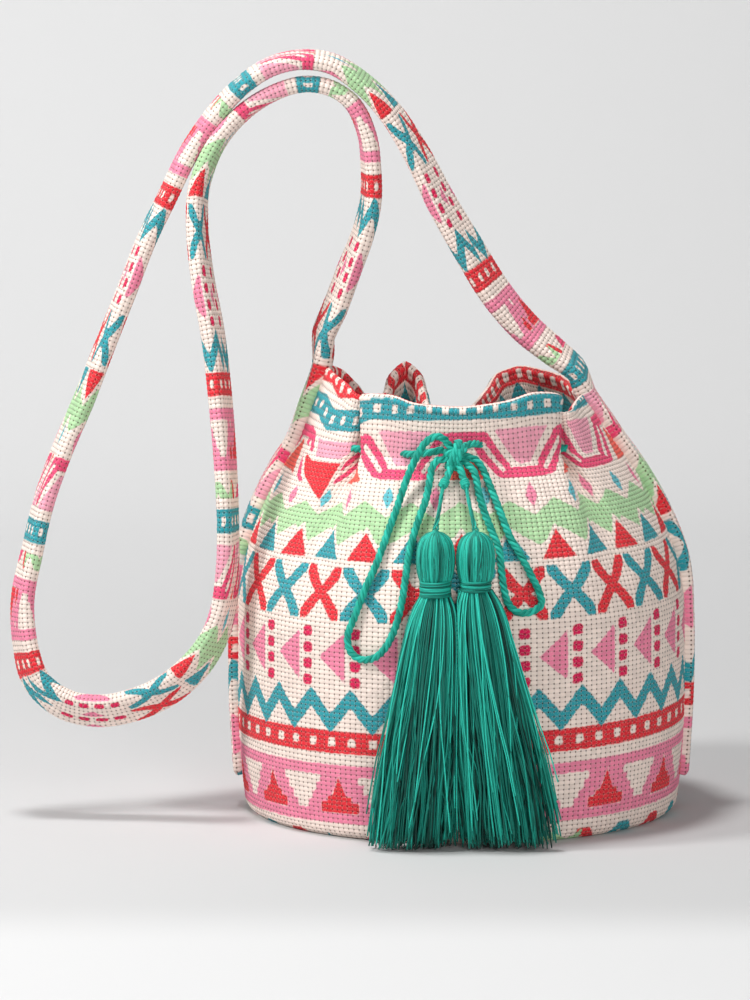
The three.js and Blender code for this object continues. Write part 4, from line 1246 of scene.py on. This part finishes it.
def makeBinding(side):
    chance = random.Random(f"binding {side}")
    low, high = nodeBox(f"tassel_binding_{side}")
    centre = (low + high) / 2
    bundle = newBundle()
    angle = np.linspace(0, fullTurn * tassel["wraps"], 330)
    height = np.linspace(low[2] + 0.7, high[2] + 0.2, len(angle))
    for strand in range(2):
        lift = 0.34 * np.sin(angle * 0.37 + strand * 2.1) + 0.1 * np.sin(angle * 1.7 + strand)
        radius = tassel["wrapRadius"] + 0.16 * np.sin(angle * 0.21 + strand * 3)
        shift = (strand - 0.5) * 0.72
        line = woundLine(centre, radius, angle, height + shift + lift)
        addTube(bundle, line, tassel["wrapYarn"], 7, 0.3 + 0.45 * strand + chance.uniform(-0.05, 0.05))
    stack = np.array([(centre[0], centre[1], z) for z in np.linspace(low[2], high[2], 6)])
    addTube(bundle, stack, tassel["waistRadius"], 24, 0.15)
    makeTasselPiece("Binding", side, bundle)


def makeSkirt(side):
    # Strands cling in clumps at the waist and part towards their ends.
    chance = random.Random(f"skirt {side}")
    shape = tassel[side]
    bindingLow, bindingHigh = nodeBox(f"tassel_binding_{side}")
    waist = (bindingLow + bindingHigh) / 2
    top, bottom = bindingLow[2] + 1.5, tassel["skirtEnd"]
    downs = np.linspace(0, 1, 30)
    spread = np.interp(downs, *zip(*skirtSpread))
    height = top + (bottom - top) * downs
    middle = shape["head"] + (shape["skirtAt"] - shape["head"]) * downs
    halfWidth = np.maximum(6.6, shape["skirtHalf"] * spread)
    halfDepth = 7.0 + 3.0 * np.minimum(1, downs * 2)
    behind = np.array([min(frontDepth(m, z), frontDepth(0, z)) for m, z in zip(middle, height)]) - 0.7 - halfDepth
    depth = np.minimum(waist[1], behind)
    bundle = newBundle()

    def addStrand(rho, angle, wave, reach, tone, radius):
        # rho is the share of the skirt's half width, and reach is how far the strand stops short of the end.
        stop = 1 - reach / (top - bottom)
        share = np.linspace(0, stop, 24)
        across = np.interp(share, downs, halfWidth) * rho * math.cos(angle)
        along = np.interp(share, downs, halfDepth) * rho * math.sin(angle)
        x = np.interp(share, downs, middle) + across
        y = np.interp(share, downs, depth) + along
        z = top + (bottom - top) * share
        sway = np.minimum(1, share * 1.6)
        x = x + sway * (wave[0] * np.sin(share * wave[1] + wave[2]) + wave[5] * share)
        y = y + sway * wave[3] * np.sin(share * wave[4] + wave[2] * 2)
        between = tassel["skirtsMeet"] + 0.5 * np.sin(share * 7)
        x = np.minimum(x, between - 0.5) if shape["head"] < 0 else np.maximum(x, between + 0.5)
        addTube(bundle, np.stack([x, y, z], axis=1), radius, 5, tone)

    for clump in range(tassel["clumps"]):
        rho = 1 - 0.75 * (clump / tassel["clumps"]) ** 1.6
        angle = fullTurn * (clump * goldenShare % 1.0)
        # A wave is: sideways swing, its rate and start, swing to the front, its rate, and drift.
        wave = [chance.uniform(-1.9, 1.9), chance.uniform(4, 12), chance.uniform(0, 6), chance.uniform(-1.2, 1.2),
                chance.uniform(3, 8), chance.uniform(-3.0, 3.0)]
        reach = chance.uniform(0, 7)
        tone = chance.uniform(-0.1, 0.42)
        for _ in range(tassel["strandsInClump"]):
            loose = chance.uniform(0, 1) ** 2
            own = [wave[0] + loose * chance.uniform(-3.2, 3.2), wave[1] + chance.uniform(-2, 4),
                   wave[2] + loose * chance.uniform(-2, 2), wave[3] * chance.uniform(0.6, 1.4), wave[4],
                   wave[5] + chance.uniform(-1.2, 1.2) + loose * chance.uniform(-4, 4)]
            addStrand(
                min(1.0, rho + chance.uniform(-0.08, 0.08)), angle + chance.uniform(-0.11, 0.11), own,
                max(0.0, reach + chance.uniform(-4, 5)), min(1.0, tone + chance.uniform(-0.1, 0.4)),
                tassel["strand"] * chance.uniform(0.75, 1.05),
            )
    for _ in range(tassel["strays"]):
        angle = chance.uniform(math.pi * 1.05, math.pi * 1.95)
        wave = (chance.uniform(-5, 5), chance.uniform(2, 5), chance.uniform(0, 6), 0.6, 3, chance.uniform(-14, 14))
        addStrand(1.03, angle, wave, chance.uniform(0, 40), chance.uniform(0.8, 1.1), 0.36)
    for _ in range(shape["splayed"]):
        wave = (1.5, 4, chance.uniform(0, 6), 0.8, 3, chance.uniform(3, 11) * (1 if shape["head"] > 0 else -0.4))
        angle = chance.uniform(-0.5, 0.1) if shape["head"] > 0 else math.pi + chance.uniform(0, 0.5)
        addStrand(0.97, angle, wave, chance.uniform(2, 24), chance.uniform(0.3, 0.7), 0.4)
    makeTasselPiece("Skirt", side, bundle)


def makeThread(side):
    # Four yarns that run from the cord's end into the top of the ball.
    low, high = nodeBox(f"tassel_head_{side}")
    top = np.array([*(low + high)[:2] / 2, high[2] + 0.6])
    _, _, tail, down = tailRoute(side)
    hang = tail - down * 1.2
    bend = (hang + top) / 2 + (0, 1, -1)
    line = smoothRoute([hang, bend, top], 0.8)
    _, across, other = framesAlong(line)
    reach = lengthsAlong(line)
    bundle = newBundle()
    for strand in range(4):
        angle = reach / tassel["threadLay"] * fullTurn + strand * fullTurn / 4
        flare = 0.55 + 0.8 * (reach / reach[-1]) ** 6
        centre = line + across * (np.cos(angle) * flare)[:, None] + other * (np.sin(angle) * flare)[:, None]
        addTube(bundle, centre, tassel["threadYarn"], 6, 0.35 + strand * 0.12)
    makeTasselPiece("Thread", side, bundle)


for side in ("left", "right"):
    makeBall(side)
    makeBinding(side)
    makeSkirt(side)
    makeThread(side)
print("tassels made")


# A pale paper sweep, with a lamp at the left, one overhead and a broad weak one in front.
studio = {
    "paper": "#CFCFCF",
    # The darker grey towards the right is painted shade.
    "paperShadeRight": "#C1C1C1",
    "paperFront": "#D9D9D9",
    "backGlow": 0.37,  # the far paper's own lamp, which the bag doesn't get
    "floorFront": (-9000, -2000),
    "sweepStart": 900,
    "sweepRadius": 700,
    "halfWidth": 4000,
    "wallTop": 5000,
    "sky": 0.22,  # the even light of the room
    "room": 0.72,  # what the camera sees of the room past the paper
    "lampAim": 0.12,  # how high up the bag the lamps point, in metres
}


def studioPaper():
    # Matt seamless paper, with painted shade that darkens it towards the right, and paler in front.
    material, tree = newMaterial("seamlessPaper")
    place = addNode(tree, "ShaderNodeNewGeometry")
    split = addNode(tree, "ShaderNodeSeparateXYZ", links={0: place.outputs["Position"]})
    # Painted shade: the paper turns to the darker grey towards the right.
    share = addNode(tree, "ShaderNodeMapRange", {1: -0.5, 2: 0.45}, {0: split.outputs[0]})
    colour = addNode(
        tree, "ShaderNodeMix", {"data_type": "RGBA", 6: linear(studio["paper"]), 7: linear(studio["paperShadeRight"])},
        {0: share.outputs[0]},
    )
    nearness = addNode(
        tree, "ShaderNodeMapRange", {"interpolation_type": "SMOOTHSTEP", 1: -0.25, 2: -0.36}, {0: split.outputs[1]}
    )
    front = addNode(
        tree, "ShaderNodeMix", {"data_type": "RGBA", 7: linear(studio["paperFront"])},
        {0: nearness.outputs[0], 6: colour.outputs[2]},
    )
    far = addNode(
        tree, "ShaderNodeMapRange", {"interpolation_type": "SMOOTHSTEP", 1: 0.1, 2: 1.2, 4: studio["backGlow"]},
        {0: split.outputs[1]},
    )
    ray = addNode(tree, "ShaderNodeLightPath")
    glow = addNode(
        tree, "ShaderNodeMath", {"operation": "MULTIPLY"}, {0: far.outputs[0], 1: ray.outputs["Is Camera Ray"]}
    )
    shader = addNode(
        tree, "ShaderNodeBsdfPrincipled", {"Roughness": 0.95, "Specular IOR Level": 0.0},
        {"Base Color": front.outputs[2], "Emission Color": front.outputs[2], "Emission Strength": glow.outputs[0]},
    )
    # From behind, the paper lets the camera look through.
    clear = addNode(tree, "ShaderNodeBsdfTransparent")
    sided = addNode(
        tree, "ShaderNodeMixShader",
        links={0: place.outputs["Backfacing"], 1: shader.outputs[0], 2: clear.outputs[0]},
    )
    finishMaterial(tree, sided)
    return material


def makeSweep():
    start, radius = studio["sweepStart"], studio["sweepRadius"]
    bend = np.linspace(0, fullTurn / 4, 17)
    ys = np.concatenate([studio["floorFront"], start + radius * np.sin(bend), [start + radius]])
    zs = np.concatenate([[0, 0], radius - radius * np.cos(bend), [studio["wallTop"]]]) - 0.05
    points = np.array([(x, y, z) for y, z in zip(ys, zs) for x in (-studio["halfWidth"], studio["halfWidth"])])
    rows = np.arange(len(ys) - 1) * 2
    faces = np.stack([rows, rows + 1, rows + 3, rows + 2], axis=1)
    mesh = bpy.data.meshes.new("paperSweep")
    mesh.from_pydata((points * mm).tolist(), [], faces.tolist())
    mesh.polygons.foreach_set("use_smooth", np.ones(len(faces), bool))
    sweep = bpy.data.objects.new("paperSweep", mesh)
    mesh.materials.append(studioPaper())
    bpy.context.scene.collection.objects.link(sweep)


lamps = {
    "key": {"at": (-1.55, -0.7, 1.3), "size": 0.45, "power": 25.0},
    "top": {"at": (-0.3, -0.1, 2.0), "size": 0.35, "power": 22.0},
    "fill": {"at": (0.6, -2.7, 0.9), "size": 1.2, "power": 29.0},
}


def makeLamps():
    for name, lamp in lamps.items():
        data = bpy.data.lights.new(name, "AREA")
        data.shape = "DISK"
        data.size = lamp["size"]
        data.energy = lamp["power"]
        holder = bpy.data.objects.new(name, data)
        holder.location = lamp["at"]
        aim = Vector((0, 0, studio["lampAim"])) - Vector(lamp["at"])
        holder.rotation_euler = aim.to_track_quat("-Z", "Y").to_euler()
        bpy.context.scene.collection.objects.link(holder)
    world = bpy.data.worlds.new("studioRoom")
    world.use_nodes = True
    background = world.node_tree.nodes["Background"]
    background.inputs["Color"].default_value = (1, 1, 1, 1)
    ray = addNode(world.node_tree, "ShaderNodeLightPath")
    strength = addNode(
        world.node_tree, "ShaderNodeMapRange", {3: studio["sky"], 4: studio["room"]},
        {0: ray.outputs["Is Camera Ray"]},
    )
    world.node_tree.links.new(strength.outputs[0], background.inputs["Strength"])
    bpy.context.scene.world = world
    bpy.context.scene.view_settings.view_transform = "Standard"


makeSweep()
makeLamps()
print("sweep and lamps set")

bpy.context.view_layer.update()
